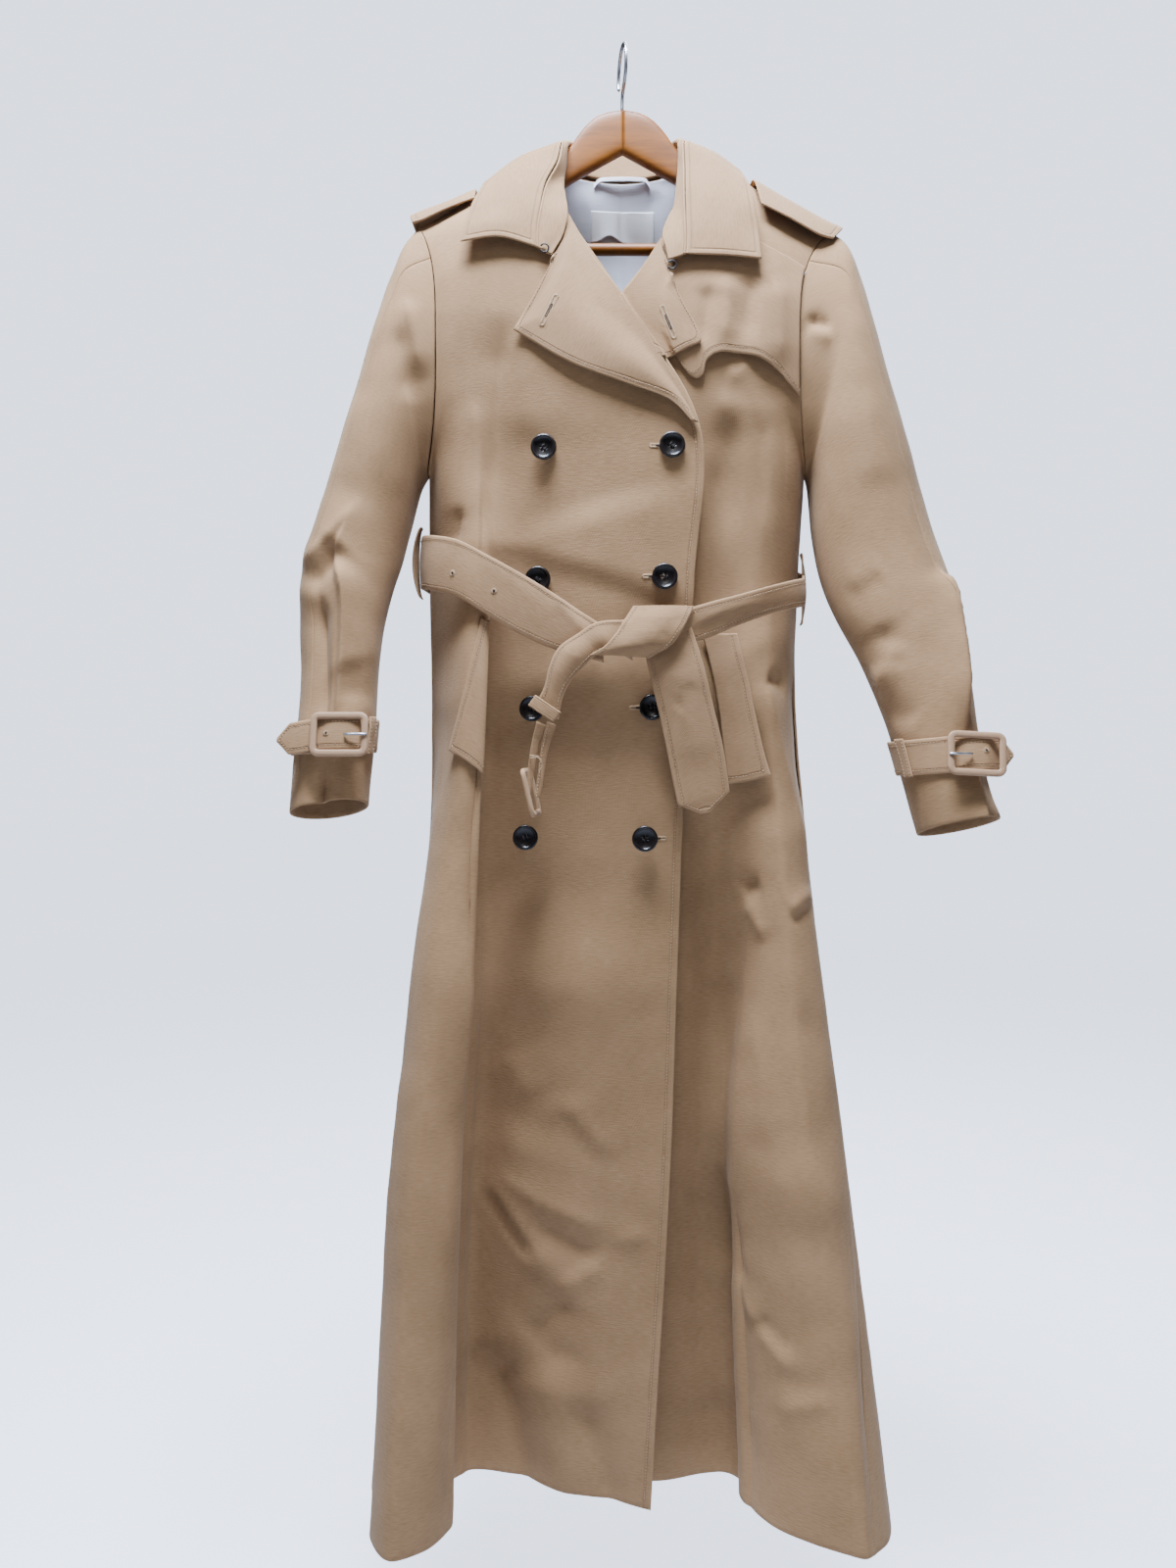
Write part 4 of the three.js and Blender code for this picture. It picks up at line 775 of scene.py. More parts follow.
def wood_of(name):
    """Steamed beech under thin clear varnish: soft bands along the grain, a glued joint at the middle, a low
    even gloss, and flecks drawn 14 mm long, coarser than the real ones of 4 mm."""
    material, tree = new_material(name)
    place = out(add_node(tree, "ShaderNodeTexCoord"), 3)
    fibres = add_node(tree, "ShaderNodeMapping", {"Vector": place, "Scale": (70.0, 500.0, 900.0)})
    fleck = add_node(tree, "ShaderNodeTexNoise", {"Vector": out(fibres), "Scale": 1.0, "Detail": 4.0})
    rings = add_node(tree, "ShaderNodeMapping", {"Vector": place, "Scale": (9.0, 60.0, 75.0)})
    band = add_node(
        tree, "ShaderNodeTexNoise", {"Vector": out(rings), "Scale": 1.0, "Detail": 3.0, "Distortion": 0.6}
    )
    mixed = add_node(
        tree,
        "ShaderNodeMath",
        {"Value": out(fleck), "Value_001": 0.5, "Value_002": out(band)},
        operation="MULTIPLY_ADD",
    )
    spread = add_node(tree, "ShaderNodeMapRange", {"Value": out(mixed), "From Min": 0.45, "From Max": 1.05})
    base = add_node(
        tree,
        "ShaderNodeMix",
        {"Factor_Float": out(spread), "A_Color": colour("5e3000"), "B_Color": colour("8d5204")},
        data_type="RGBA",
    )
    axes = add_node(tree, "ShaderNodeSeparateXYZ", {"Vector": place})
    off = add_node(tree, "ShaderNodeMath", {"Value": out(axes)}, operation="ABSOLUTE")
    joint = add_node(
        tree,
        "ShaderNodeMapRange",
        {"Value": out(off), "From Min": 0.00015, "From Max": 0.0007, "To Min": 0.55, "To Max": 0.0},
    )
    glued = add_node(
        tree,
        "ShaderNodeMix",
        {"Factor_Float": out(joint), "A_Color": out(base, "Result_Color"), "B_Color": colour("5d3a1e")},
        data_type="RGBA",
    )
    bump = add_node(tree, "ShaderNodeBump", {"Height": out(fleck), "Strength": 0.25, "Distance": 0.0002})
    shader = add_node(
        tree,
        "ShaderNodeBsdfPrincipled",
        {
            "Base Color": out(glued, "Result_Color"),
            "Roughness": 0.5,
            "Specular IOR Level": 0.3,
            "Coat Weight": 0.04,
            "Coat Roughness": 0.18,
            "Normal": out(bump),
        },
    )
    finished(tree, shader)
    return material


def satin_of(name, light, dark):
    """Long floats of white yarn: smooth, softly glossy, faint lines across and shallow soft dents."""
    material, tree = new_material(name)
    flat = out(add_node(tree, "ShaderNodeTexCoord"), 3)
    threads = add_node(tree, "ShaderNodeMapping", {"Vector": flat, "Scale": (60.0, 60.0, 1300.0)})
    lines = add_node(tree, "ShaderNodeTexNoise", {"Vector": out(threads), "Scale": 1.0, "Detail": 2.0})
    folds = add_node(tree, "ShaderNodeTexNoise", {"Vector": flat, "Scale": 34.0, "Detail": 1.0})
    base = add_node(
        tree,
        "ShaderNodeMix",
        {"Factor_Float": out(lines), "A_Color": colour(dark), "B_Color": colour(light)},
        data_type="RGBA",
    )
    height = add_node(
        tree,
        "ShaderNodeMath",
        {"Value": out(folds), "Value_001": 6.0, "Value_002": out(lines)},
        operation="MULTIPLY_ADD",
    )
    bump = add_node(tree, "ShaderNodeBump", {"Height": out(height), "Strength": 0.3, "Distance": 0.0006})
    shader = add_node(
        tree,
        "ShaderNodeBsdfPrincipled",
        {
            "Base Color": out(base, "Result_Color"),
            "Roughness": 0.4,
            "Specular IOR Level": 0.5,
            "Sheen Weight": 0.1,
            "Normal": out(bump),
        },
    )
    finished(tree, shader)
    return material


def smooth_finish(name, light, dark, scale, roughness, metallic=0.0, depth=0.0):
    """A finish with a fine cloudy tone and dents: cast resin, lacquer, wire, thread or thin leather."""
    material, tree = new_material(name)
    place = out(add_node(tree, "ShaderNodeTexCoord"), 3)
    cloud = add_node(tree, "ShaderNodeTexNoise", {"Vector": place, "Scale": scale, "Detail": 4.0})
    base = add_node(
        tree,
        "ShaderNodeMix",
        {"Factor_Float": out(cloud), "A_Color": colour(dark), "B_Color": colour(light)},
        data_type="RGBA",
    )
    bump = add_node(tree, "ShaderNodeBump", {"Height": out(cloud), "Strength": 0.3, "Distance": depth})
    shader = add_node(
        tree,
        "ShaderNodeBsdfPrincipled",
        {
            "Base Color": out(base, "Result_Color"),
            "Roughness": roughness,
            "Metallic": metallic,
            "Normal": out(bump),
        },
    )
    finished(tree, shader)
    return material


# Cotton gabardine, woven tight and dyed in the piece: matt, even, with painted shade darkening its stitching
# grooves.
GABARDINE = cotton_gabardine("cotton_gabardine", "a3805c", "866846", "b18e6a")
# The same cloth pressed over interlining: a shade paler and flatter.
TRIM = cotton_gabardine("cotton_gabardine_interlined", "a78461", "8a6b49", "b5926f")
# Spun sewing thread: matt, a little paler than the cloth, so the stitches show.
THREAD = smooth_finish("spun_sewing_thread", "b79876", "a38662", 900.0, 0.7, depth=0.0001)
# Waxed thread: dark, with a dull shine.
THREAD_DARK = smooth_finish("waxed_button_thread", "2c211b", "1b1411", 900.0, 0.6, depth=0.0001)
# Painted shade inside a slit: the cut cloth there is coloured dark for the shade that falls in it, no shine.
SLIT_SHADE = smooth_finish("painted_shade_in_slit", "3a2b1f", "2a1f17", 400.0, 0.9, depth=0.0001)
# Acetate satin: cold white, its long floats catch the light in soft bands.
SATIN = satin_of("white_acetate_satin", "d9dae1", "c3c5cf")
# Woven label tape: bleached, so whiter than the lining.
LABEL = satin_of("blank_woven_label", "fbfcfd", "f3f5f7")
# Cast polyester resin with a dark horn cloud in it, tumbled: nearly black, a tight highlight in its dish.
HORN = smooth_finish("cast_resin_horn", "17100e", "0b0807", 160.0, 0.27, depth=0.0001)
# A moulded frame wrapped in thin skived leather: a fine pebble, a low even sheen.
LEATHER = smooth_finish("skived_leather", "a98767", "927052", 700.0, 0.6, depth=0.0003)
# Drawn steel wire, bright nickel plated: a mirror softened by small drawing marks.
WIRE = smooth_finish("nickel_plated_wire", "b9bbbe", "9a9ca0", 90.0, 0.33, metallic=1.0)
# Steel wire dipped in black lacquer: a soft gloss, no grain.
BLACK_WIRE = smooth_finish("black_lacquered_wire", "201f20", "141314", 400.0, 0.4, metallic=0.3)
# Steamed beech, sawn, shaped and varnished: warm brown, with fine short flecks along the grain.
BEECH = wood_of("varnished_beech")


# ---------- body panels, sleeves and trim as surfaces ----------
def armhole(side, degrees, forwards):
    """The armhole seam: 0 degrees is the top and 180 the underarm; forwards is 1 in front, -1 behind."""
    top, bottom, middle, front, back = ARMHOLE[side]
    turn = np.radians(np.asarray(degrees, float))
    cosine, sine = np.cos(turn), np.sin(turn)
    x = lerp(middle, np.where(cosine > 0, top[0], bottom[0]), np.abs(cosine) ** 3)
    y = top[1] - sine * np.where(np.asarray(forwards) > 0, front, -back)
    return np.stack([x, y, lerp(bottom[2], top[2], (1 + cosine) / 2)], -1)


def fold_line(rows, k, height_at):
    """One fold line of a panel, hem to shoulder; a third number in the table is the height."""
    points = [row[k] if len(row[k]) > 2 else [*row[k], height_at(i, row[k][0])] for i, row in enumerate(rows)]
    return line_through(points)


def side_line(rows, k, side, forwards):
    """The side seam up to the underarm, then the armhole seam."""
    seam = fold_line(rows[: UNDERARM + 1], k, lambda i, x: LEVELS[i][1])

    def line(up):
        up = np.asarray(up, float)
        i = np.clip(up.astype(int), UNDERARM, TOP - 1)
        turn = lerp(TURNS[i], TURNS[i + 1], np.clip(up - i, 0, 1))
        return np.where((up < UNDERARM)[..., None], seam(up), armhole(side, turn, forwards))

    return line


def sloping_height(i, x, side, forwards, far, far_x):
    """The height of a level at x, from the seam at the side to the panel's far edge."""
    level = LEVELS[i]
    if level[2] is None:
        return level[1]
    seam = armhole(side, level[2], forwards)
    return lerp(seam[2], level[far], np.clip((x - seam[0]) / (far_x - seam[0]), 0, 1))


def panel(rows, sides, height_at):
    columns = range(len(rows[0]))
    return surface(
        [side_line(rows, k, *sides[k]) if k in sides else fold_line(rows, k, height_at) for k in columns]
    )


front_right_face = panel(
    FRONT_RIGHT, {0: ("right", 1)}, lambda i, x: sloping_height(i, x, "right", 1, 3, FRONT_RIGHT[i][7][0])
)
front_left_face = panel(
    FRONT_LEFT, {8: ("left", 1)}, lambda i, x: sloping_height(i, x, "left", 1, 4, FRONT_LEFT[i][0][0])
)
back_face = panel(
    BACK,
    {0: ("left", -1), 11: ("right", -1)},
    lambda i, x: sloping_height(i, x, "left" if x > 0 else "right", -1, 5, 0),
)


def rising(step):
    """Places up the body, about one step of height apart."""
    rises = [LEVELS[i + 1][5] - LEVELS[i][5] for i in range(TOP)]
    spans = [np.linspace(i, i + 1, max(6, round(rise / step)) + 1)[1:] for i, rise in enumerate(rises)]
    return np.concatenate([[0.0], *spans])


MOUTH_TILT = 9  # how far the rear of a sleeve's mouth hangs below its middle, and the front above it


def sleeve_face(rings, side):
    """A sleeve, read by degrees round it from its outer edge over the front, and by place up it."""

    def face(degrees, up):
        degrees, up = np.broadcast_arrays(np.asarray(degrees, float), np.asarray(up, float))
        turn = np.radians(degrees)
        reach = (1 + np.cos(turn)) / 2
        lines = []
        for _, outer, inner, y, half in rings:
            across, down = lerp(inner[0], outer[0], reach), lerp(inner[1], outer[1], reach)
            lines.append(np.stack([across, y - half * np.sin(turn), down], -1))
        lines[0][..., 2] += MOUTH_TILT * np.sin(turn)
        around = degrees % 360
        behind = around > 180
        seam = armhole(side, np.where(behind, 360 - around, around), np.where(behind, -1, 1))
        seam[..., 0] += -SEAM_SHIFT if side == "right" else SEAM_SHIFT
        return along(np.stack([*lines, seam]), up)

    return face


sleeve_right_face = sleeve_face(SLEEVE_RIGHT, "right")
sleeve_left_face = sleeve_face(SLEEVE_LEFT, "left")

# ---------- creases --------------------------
# Each row: facing (-1 front, 1 rear), x and z along it, reach, height (below 0 a trough), roundness,
# and for a step the side on which the cloth stays up.
FRONT_RIGHT_CREASES = [
    [-1, [[-40, -640], [-40, -740], [-44, -840], [-50, -960]], 52, -14, 40],
    [-1, [[-139, -400], [-140, -560], [-136, -700], [-136, -820]], 16, 2.2, 1.2, -1],
    [-1, [[-136, -820], [-146, -978], [-150, -1088], [-157, -1220], [-162, -1400], [-163, -1560]],
     20, 4, 1.2, -1],
    [-1, [[-30, -560], [-20, -520], [-30, -470]], 50, 5.2, 40],
    [-1, [[-123, -560], [-127, -660], [-130, -800], [-139, -980]], 15, -9.1, 6],
    [-1, [[-136, -940], [-142, -1080], [-152, -1220], [-158, -1420], [-160, -1540]], 16, -13, 7],
    [-1, [[-146, -560], [-152, -680], [-156, -820]], 12, 3.9, 5],
    [-1, [[-164, -1060], [-174, -1200], [-184, -1400], [-190, -1540]], 12, 5.2, 5],
    [-1, [[-86, -940], [-96, -1060], [-104, -1130]], 30, -5.2, 10],
    [-1, [[-118, -290], [-124, -380], [-127, -520]], 19, -8.5, 7],
    [-1, [[-100, -300], [-96, -360], [-90, -430]], 20, 3.9, 8],
    [-1, [[-146, -1149], [-105, -1205], [-65, -1257]], 11, 5.5, 1.5],
    [-1, [[-163, -1158], [-116, -1224], [-67, -1258]], 9, 3.1, 2],
    [-1, [[-152, -1168], [-118, -1208], [-82, -1244]], 9, -4.4, 4],
    [-1, [[-146, -1147], [-80, -1174], [-6, -1201]], 13, 3.9, 3],
    [-1, [[-92, -1192], [-56, -1212], [-18, -1226]], 12, -4.4, 5],
    [-1, [[-20, -1226], [-45, -1249], [-69, -1262]], 10, 3.4, 3],
    [-1, [[-52, -1262], [-76, -1296], [-104, -1326]], 13, -5.5, 5],
    [-1, [[-104, -1316], [-75, -1331], [-28, -1334]], 15, -3.1, 6],
    [-1, [[-140, -1330], [-119, -1404], [-92, -1530]], 17, -10.4, 6],
    [-1, [[-46, -1370], [-27, -1423], [0, -1530]], 15, -6.5, 5],
    [-1, [[-84, -1340], [-68, -1400], [-52, -1530]], 22, 5.2, 8],
    [-1, [[-120, -1024], [-109, -1049], [-92, -1074]], 13, 2.6, 4],
    [-1, [[-70, -1058], [-37, -1093], [-2, -1128]], 14, 3.4, 3],
    [-1, [[-60, -1072], [-44, -1100], [-12, -1136]], 12, -2.1, 4],
    [-1, [[-161, -478], [-163, -496], [-165, -518]], 7, -3.9, 2],
    [-1, [[-150, -370], [-145, -400], [-142, -450], [-138, -500]], 9, 2.3, 2],
    [-1, [[-214, -1010], [-222, -1100], [-232, -1260]], 16, 3.2, 5],
    [-1, [[-190, -660], [-184, -720], [-192, -790]], 11, -2.6, 4],
    [-1, [[28, -1196], [10, -1200], [-12, -1212]], 8, 2.1, 2],
    [-1, [[38, -560], [20, -590], [-8, -600]], 12, -2.6, 4],
]
FRONT_LEFT_CREASES = [
    [-1, [[-40, -640], [-40, -740], [-44, -840], [-50, -960]], 52, -14, 40],
    [-1, [[92, -340], [92, -440], [90, -540], [88, -640]], 17, -8.5, 7],
    [-1, [[88, -660], [92, -800], [96, -940], [98, -1100]], 24, -13, 7],
    [-1, [[98, -1100], [104, -1240], [108, -1400], [112, -1540]], 25, -13.5, 7],
    [-1, [[176, -1130], [187, -1260], [198, -1410]], 24, -7, 9],
    [-1, [[124, -960], [134, -1040], [140, -1120]], 14, 3.9, 6],
    [-1, [[170, -940], [184, -1040], [196, -1160]], 18, -5.2, 8],
    [-1, [[150, -1080], [160, -1180], [168, -1280]], 16, 4.4, 8],
    [-1, [[190, -620], [186, -700], [190, -800]], 10, -5.2, 5],
    [-1, [[104, -380], [104, -440], [102, -520]], 14, -5.2, 6],
    [-1, [[101, -1125], [111, -1193], [117, -1258]], 8, 4.2, 1],
    [-1, [[96, -1130], [104, -1200], [108, -1262]], 9, -3.1, 3],
    [-1, [[117, -1240], [112, -1257], [120, -1276], [127, -1291]], 7, 3.6, 1.5],
    [-1, [[121, -1286], [138, -1299], [151, -1309], [162, -1326]], 8, 3.6, 2],
    [-1, [[126, -1276], [143, -1288], [160, -1306]], 8, -2.9, 3],
    [-1, [[141, -1360], [171, -1348], [201, -1333]], 9, 2.9, 2],
    [-1, [[150, -1336], [176, -1330], [190, -1322]], 9, -1.8, 3],
    [-1, [[114, -862], [123, -854], [134, -851]], 6, -3.9, 2],
    [-1, [[115, -866], [127, -883], [138, -906]], 7, 3.9, 2],
    [-1, [[158, -874], [170, -867], [188, -854]], 7, 4.2, 2],
    [-1, [[163, -885], [175, -877], [190, -866]], 7, -3.4, 2],
    [-1, [[139, -643], [151, -649], [165, -651]], 7, -5.2, 2],
    [-1, [[136, -650], [139, -659], [152, -712], [166, -760], [177, -808], [188, -860]], 9, 4.4, 2],
    [-1, [[122, -680], [134, -740], [150, -810]], 12, -3.1, 5],
    [-1, [[106, -900], [112, -1000], [118, -1110]], 16, 2.6, 6],
    [-1, [[124, -330], [112, -350], [96, -352]], 9, 2.6, 3],
    [-1, [[98, -360], [92, -400], [90, -460]], 13, 3.1, 5],
    [-1, [[140, -380], [136, -430], [138, -500]], 13, -2.6, 5],
    [-1, [[200, -1010], [214, -1140], [228, -1300]], 16, -2.6, 6],
    [-1, [[92, -1380], [100, -1440], [108, -1530]], 14, -3.9, 5],
]
BACK_CREASES = [
    [1, [[70, -1120], [20, -1180], [-40, -1214]], 13, 6.8, 2],
    [1, [[60, -1140], [20, -1200], [-20, -1230]], 11, -5.7, 4],
    [1, [[-40, -1210], [-58, -1250], [-50, -1290]], 9, 5.7, 2],
    [1, [[110, -1300], [96, -1400], [90, -1530]], 18, -9.4, 6],
    [1, [[-100, -1330], [-96, -1420], [-104, -1530]], 18, 7.5, 7],
    [1, [[30, -600], [60, -640], [70, -700]], 12, 5.7, 3],
    [1, [[-40, -590], [-80, -650], [-96, -730]], 13, -6.4, 4],
    [1, [[-10, -570], [-8, -640], [-4, -720]], 12, 4.9, 4],
    [1, [[120, -470], [80, -430], [40, -420]], 12, 4.9, 3],
    [1, [[-130, -460], [-84, -424], [-40, -416]], 12, 4.5, 3],
    [1, [[-120, -300], [-130, -360], [-120, -430]], 14, 5.7, 4],
    [1, [[116, -310], [130, -370], [118, -440]], 14, 5.7, 4],
    [1, [[170, -900], [180, -1010], [190, -1140]], 15, -5.7, 5],
    [1, [[-160, -880], [-176, -1000], [-186, -1100]], 15, 5.7, 5],
    [1, [[0, -800], [6, -900], [0, -1000]], 18, 3.8, 7],
]
SLEEVE_RIGHT_CREASES = [
    [-1, [[-262, -490], [-278, -530], [-272, -568], [-271, -650], [-273, -712]], 15, 5.5, 0.8, 0.9],
    [-1, [[-298, -552], [-289, -600], [-283, -660], [-283, -720]], 11, -13, 3],
    [-1, [[-279, -714], [-281, -768], [-282, -808]], 8, -10, 3],
    [-1, [[-214, -270], [-205, -312], [-198, -356]], 9, 5.2, 2],
    [-1, [[-222, -300], [-214, -340], [-206, -380]], 10, -3.9, 4],
    [-1, [[-250, -472], [-272, -500], [-296, -524], [-322, -540]], 10, 7.2, 2.5],
    [-1, [[-268, -520], [-285, -540], [-308, -566]], 13, -9.1, 5],
    [-1, [[-272, -530], [-271, -560], [-276, -620], [-277, -716]], 10, 7.2, 2],
    [-1, [[-300, -560], [-297, -630], [-294, -720]], 15, -5.2, 6],
    [-1, [[-266, -634], [-258, -652], [-258, -676]], 13, -4.6, 5],
    [-1, [[-248, -686], [-258, -694], [-272, -690]], 8, 3.4, 3],
    [-1, [[-256, -360], [-262, -420], [-268, -470]], 16, 2.6, 6],
    [1, [[-250, -470], [-268, -500], [-290, -520]], 12, -7.8, 4],
    [1, [[-240, -500], [-262, -530], [-292, -548]], 11, 6.5, 3],
    [1, [[-276, -560], [-280, -640], [-280, -710]], 12, 5.2, 3],
    [1, [[-228, -300], [-216, -350], [-212, -400]], 12, 5.2, 3],
    [-1, [[-280, -740], [-284, -770], [-288, -800]], 12, -6.5, 4],
]
SLEEVE_LEFT_CREASES = [
    [-1, [[307, -540], [312, -563], [317, -640], [321, -712]], 11, 7.5, 0.7, -0.95],
    [-1, [[330, -732], [334, -782], [336, -810]], 10, 3.5, 1.2, -0.9],
    [-1, [[342, -730], [346, -780]], 8, -4, 4],
    [-1, [[178, -292], [191, -300], [206, -300]], 7, -6, 2],
    [-1, [[180, -304], [192, -312], [205, -316]], 7, 3.4, 2],
    [-1, [[212, -558], [231, -549], [248, -536]], 11, 1.5, 3],
    [-1, [[214, -570], [232, -562], [250, -550]], 11, -1.3, 4],
    [-1, [[240, -596], [252, -618], [256, -646]], 12, -4.2, 5],
    [-1, [[262, -610], [250, -640], [244, -676]], 10, 4.7, 3],
    [-1, [[276, -690], [266, -684], [254, -690]], 9, -2, 4],
    [-1, [[303, -552], [309, -590], [314, -640], [318, -720]], 7, 6, 1.2],
    [-1, [[322, -560], [326, -620], [330, -700]], 10, -4.4, 4],
    [-1, [[230, -360], [238, -420], [248, -470]], 16, 3.1, 6],
    [1, [[230, -500], [252, -530], [280, -545]], 12, -7.8, 4],
    [1, [[222, -530], [246, -562], [276, -576]], 11, 6.5, 3],
    [1, [[290, -580], [300, -640], [306, -700]], 12, 5.2, 3],
    [1, [[232, -300], [218, -350], [212, -400]], 12, 5.2, 3],
]
FLAP_CREASES = [
    [-1, [[82, -262], [80, -290], [76, -330]], 9, -3.9, 3],
    [-1, [[100, -250], [100, -290], [96, -330]], 10, 3.9, 3],
    [-1, [[124, -250], [122, -280], [118, -330]], 11, -3.9, 4],
    [-1, [[150, -250], [152, -300], [150, -350]], 12, 3.9, 5],
]
WAVE = 1.3  # how far the cloth strays from a smooth form


def sewn(name, grid, wall, material, creases=(), sides=(), inset=6.5, closed=False, wave=WAVE):
    """Creases a sheet, lets it hang unevenly and gives it its thickness."""
    if len(creases):
        grid = pressed(grid, creases, closed)
    if wave:
        grid = waved(grid, wave, closed)
    piece = shell("cloth_" + name, grid, wall, material, closed, sides, inset)
    grids[name] = grid
    return piece


grids = {}
pieces = {}
rise = rising(5.5)
pieces["front_right"] = sewn(
    "front_right",
    grid_on(front_right_face, places(0, 7, 14), rise),
    BODY_WALL,
    GABARDINE,
    FRONT_RIGHT_CREASES,
    ("right",),
    7,
)
OVERLAP_GAP = 3.4  # from the outer face of the right front to that of the left front behind it


def kept_behind(grid, tree, gap):
    """Moves a sheet back where it would come through the one in front of it."""
    room = np.array([[front_at(tree, x, z, IN_FRONT) for x, _, z in row] for row in grid.tolist()])
    short = np.maximum(room + gap - grid[..., 1], 0)
    for _ in range(6):
        short = np.maximum(relaxed(short), room + gap - grid[..., 1])
    grid = grid.copy()
    grid[..., 1] += np.maximum(short, 0)
    return grid


left_front = pressed(grid_on(front_left_face, places(0, 8, 13), rise), FRONT_LEFT_CREASES)
left_front = waved(left_front, WAVE)
left_front = kept_behind(left_front, tree_of(grids["front_right"]), OVERLAP_GAP)
pieces["front_left"] = sewn("front_left", left_front, BODY_WALL, GABARDINE, (), ("left",), 7, wave=0)
pieces["back"] = sewn(
    "back", grid_on(back_face, places(0, 11, 9), rising(6.5)), BODY_WALL, GABARDINE, BACK_CREASES
)


UPPER_SLEEVE = np.linspace(50, 200, 77)  # degrees round it
UNDER_SLEEVE = np.linspace(200, 410, 67)
for side, face, creases in (
    ("right", sleeve_right_face, SLEEVE_RIGHT_CREASES),
    ("left", sleeve_left_face, SLEEVE_LEFT_CREASES),
):
    up = places(0, 12, 9)
    for half, degrees in (("upper", UPPER_SLEEVE), ("under", UNDER_SLEEVE)):
        turn = degrees if side == "right" else degrees[::-1]
        name = f"sleeve_{side}_{half}"
        pieces[name] = sewn(name, grid_on(face, turn, up), SLEEVE_WALL, GABARDINE, creases)

# ---------- storm flap ----------
FLAP_TOP = 8.55
FLAP_TOP_LIFT = 2.8
across, up, lift = np.moveaxis(along(FLAP_EDGE, places(0, len(FLAP_EDGE) - 1, 12)), -1, 0)
rise_of_flap = places(0, 1, 44)[:, None]
flap = moved_out(
    front_left_face,
    across[None, :],
    lerp(up[None, :], FLAP_TOP, rise_of_flap),
    lerp(lift[None, :], FLAP_TOP_LIFT, rise_of_flap),
)
pieces["storm_flap"] = sewn("storm_flap", flap, BODY_WALL, TRIM, FLAP_CREASES, ("bottom",), 6)

# ---------- lapels and collar ----------
LAPEL_LIFT = 4.4
COLLAR_LIFT = 4.0


def columns_of(rows, names, corners=None):
    corners = corners or {}
    return [line_through([row[k] for row in rows], corners.get(k)) for k in names]


with_flap = tree_of(grids["front_right"], grids["front_left"], grids["storm_flap"])
lapel_left = grid_on(surface(columns_of(LAPEL_LEFT, (0, 1, 2), {2: 3})), places(0, 2, 16), places(5, 0, 14))
pieces["lapel_left"] = sewn(
    "lapel_left",
    laid_over(lapel_left, with_flap, LAPEL_LIFT),
    TRIM_WALL,
    TRIM,
    sides=("right", "bottom"),
    inset=5.5,
    wave=0.5,
)
lapel_right = grid_on(surface(columns_of(LAPEL_RIGHT, (2, 1, 0), {2: 2})), places(0, 2, 20), places(6, 0, 14))
pieces["lapel_right"] = sewn(
    "lapel_right",
    laid_over(lapel_right, tree_of(grids["front_right"]), LAPEL_LIFT),
    TRIM_WALL,
    TRIM,
    sides=("left",),
    inset=5.5,
    wave=0.5,
)


def collar(names, steps, rounds=6):
    """Part of the collar, laid on the coat at its two front ends."""
    stations = places(0, len(COLLAR) - 1, 11)
    grid = surface(columns_of(COLLAR, names))(places(2, 0, steps)[:, None], stations[None, :])
    in_front = (stations < 4) | (stations > 12)
    grid[:, in_front] = laid_over(grid, with_flap, COLLAR_LIFT, 0)[:, in_front]
    for _ in range(rounds):
        settled = np.minimum(relaxed(grid[..., 1]), grid[..., 1] + 0.6)
        grid[..., 1] = np.where(in_front[None, :], np.minimum(settled, grid[..., 1]), grid[..., 1])
    return grid


pieces["collar_fall"] = sewn(
    "collar_fall",
    collar((2, 3, 4), 16),
    TRIM_WALL,
    TRIM,
    sides=("left", "right", "bottom", "top"),
    inset=5,
    wave=0.6,
)
pieces["collar_stand"] = sewn(
    "collar_stand", collar((0, 1, 2), 10), TRIM_WALL, TRIM, sides=("bottom",), inset=2.5, wave=0.3
)

# ---------- epaulettes and pocket welts ----------
for name, rows, names in (
    ("epaulette_right", EPAULETTE_RIGHT, (0, 1, 2)),
    ("epaulette_left", EPAULETTE_LEFT, (2, 1, 0)),
):
    strap = grid_on(surface(columns_of(rows, names)), places(0, 2, 14), places(0, 3, 14))
    pieces[name] = sewn(name, strap, TRIM_WALL, TRIM, (), ("left", "right", "top"), 5.5, wave=0.5)

WELT_LIFT = 4.0
# The welts' lower and upper edges on their panels: places across and up.
WELTS = {
    "right": (
        front_right_face,
        [[1.5, 3.52], [2.3, 3.44], [3.02, 3.35]],
        [[2.7, 4.62], [2.9, 4.6], [3.1, 4.6]],
    ),
    "left": (front_left_face, [[2.6, 3.28], [4.0, 3.3], [5.6, 3.34]], [[1.2, 4.5], [1.9, 4.5], [2.9, 4.5]]),
}
for side, (face, low, high) in WELTS.items():
    low, high = (along([[*corner, 0] for corner in corners], places(0, 2, 14)) for corners in (low, high))
    flat = lerp(low[None], high[None], places(0, 1, 60)[:, None, None])
    welt = moved_out(face, flat[..., 0], flat[..., 1], np.full(flat.shape[:2], WELT_LIFT))
    sides = ("left", "bottom") if side == "right" else ("right", "bottom")
    pieces["welt_" + side] = sewn("welt_" + side, welt, BODY_WALL, TRIM, (), sides, 6)

# ---------- belt ----------
extras = []  # piece, the solids that it replaces, slot
BELT_LIFT = 4.0
BELT_BULGE = 1.6
body = tree_of(
    grids["front_right"], grids["front_left"], grids["back"], grids["welt_right"], grids["welt_left"]
)
BELT_CREASES = [
    [-1, [[-70, -568], [-52, -588], [-30, -612]], 7, 2.4, 2],
    [-1, [[-60, -566], [-42, -584], [-24, -604]], 7, -2.2, 3],
    [-1, [[-150, -525], [-110, -553], [-60, -590]], 12, 1.4, 4],
    [-1, [[64, -600], [100, -582], [140, -572]], 7, 1.8, 3],
    [-1, [[60, -612], [84, -596], [104, -590]], 6, -1.6, 3],
]


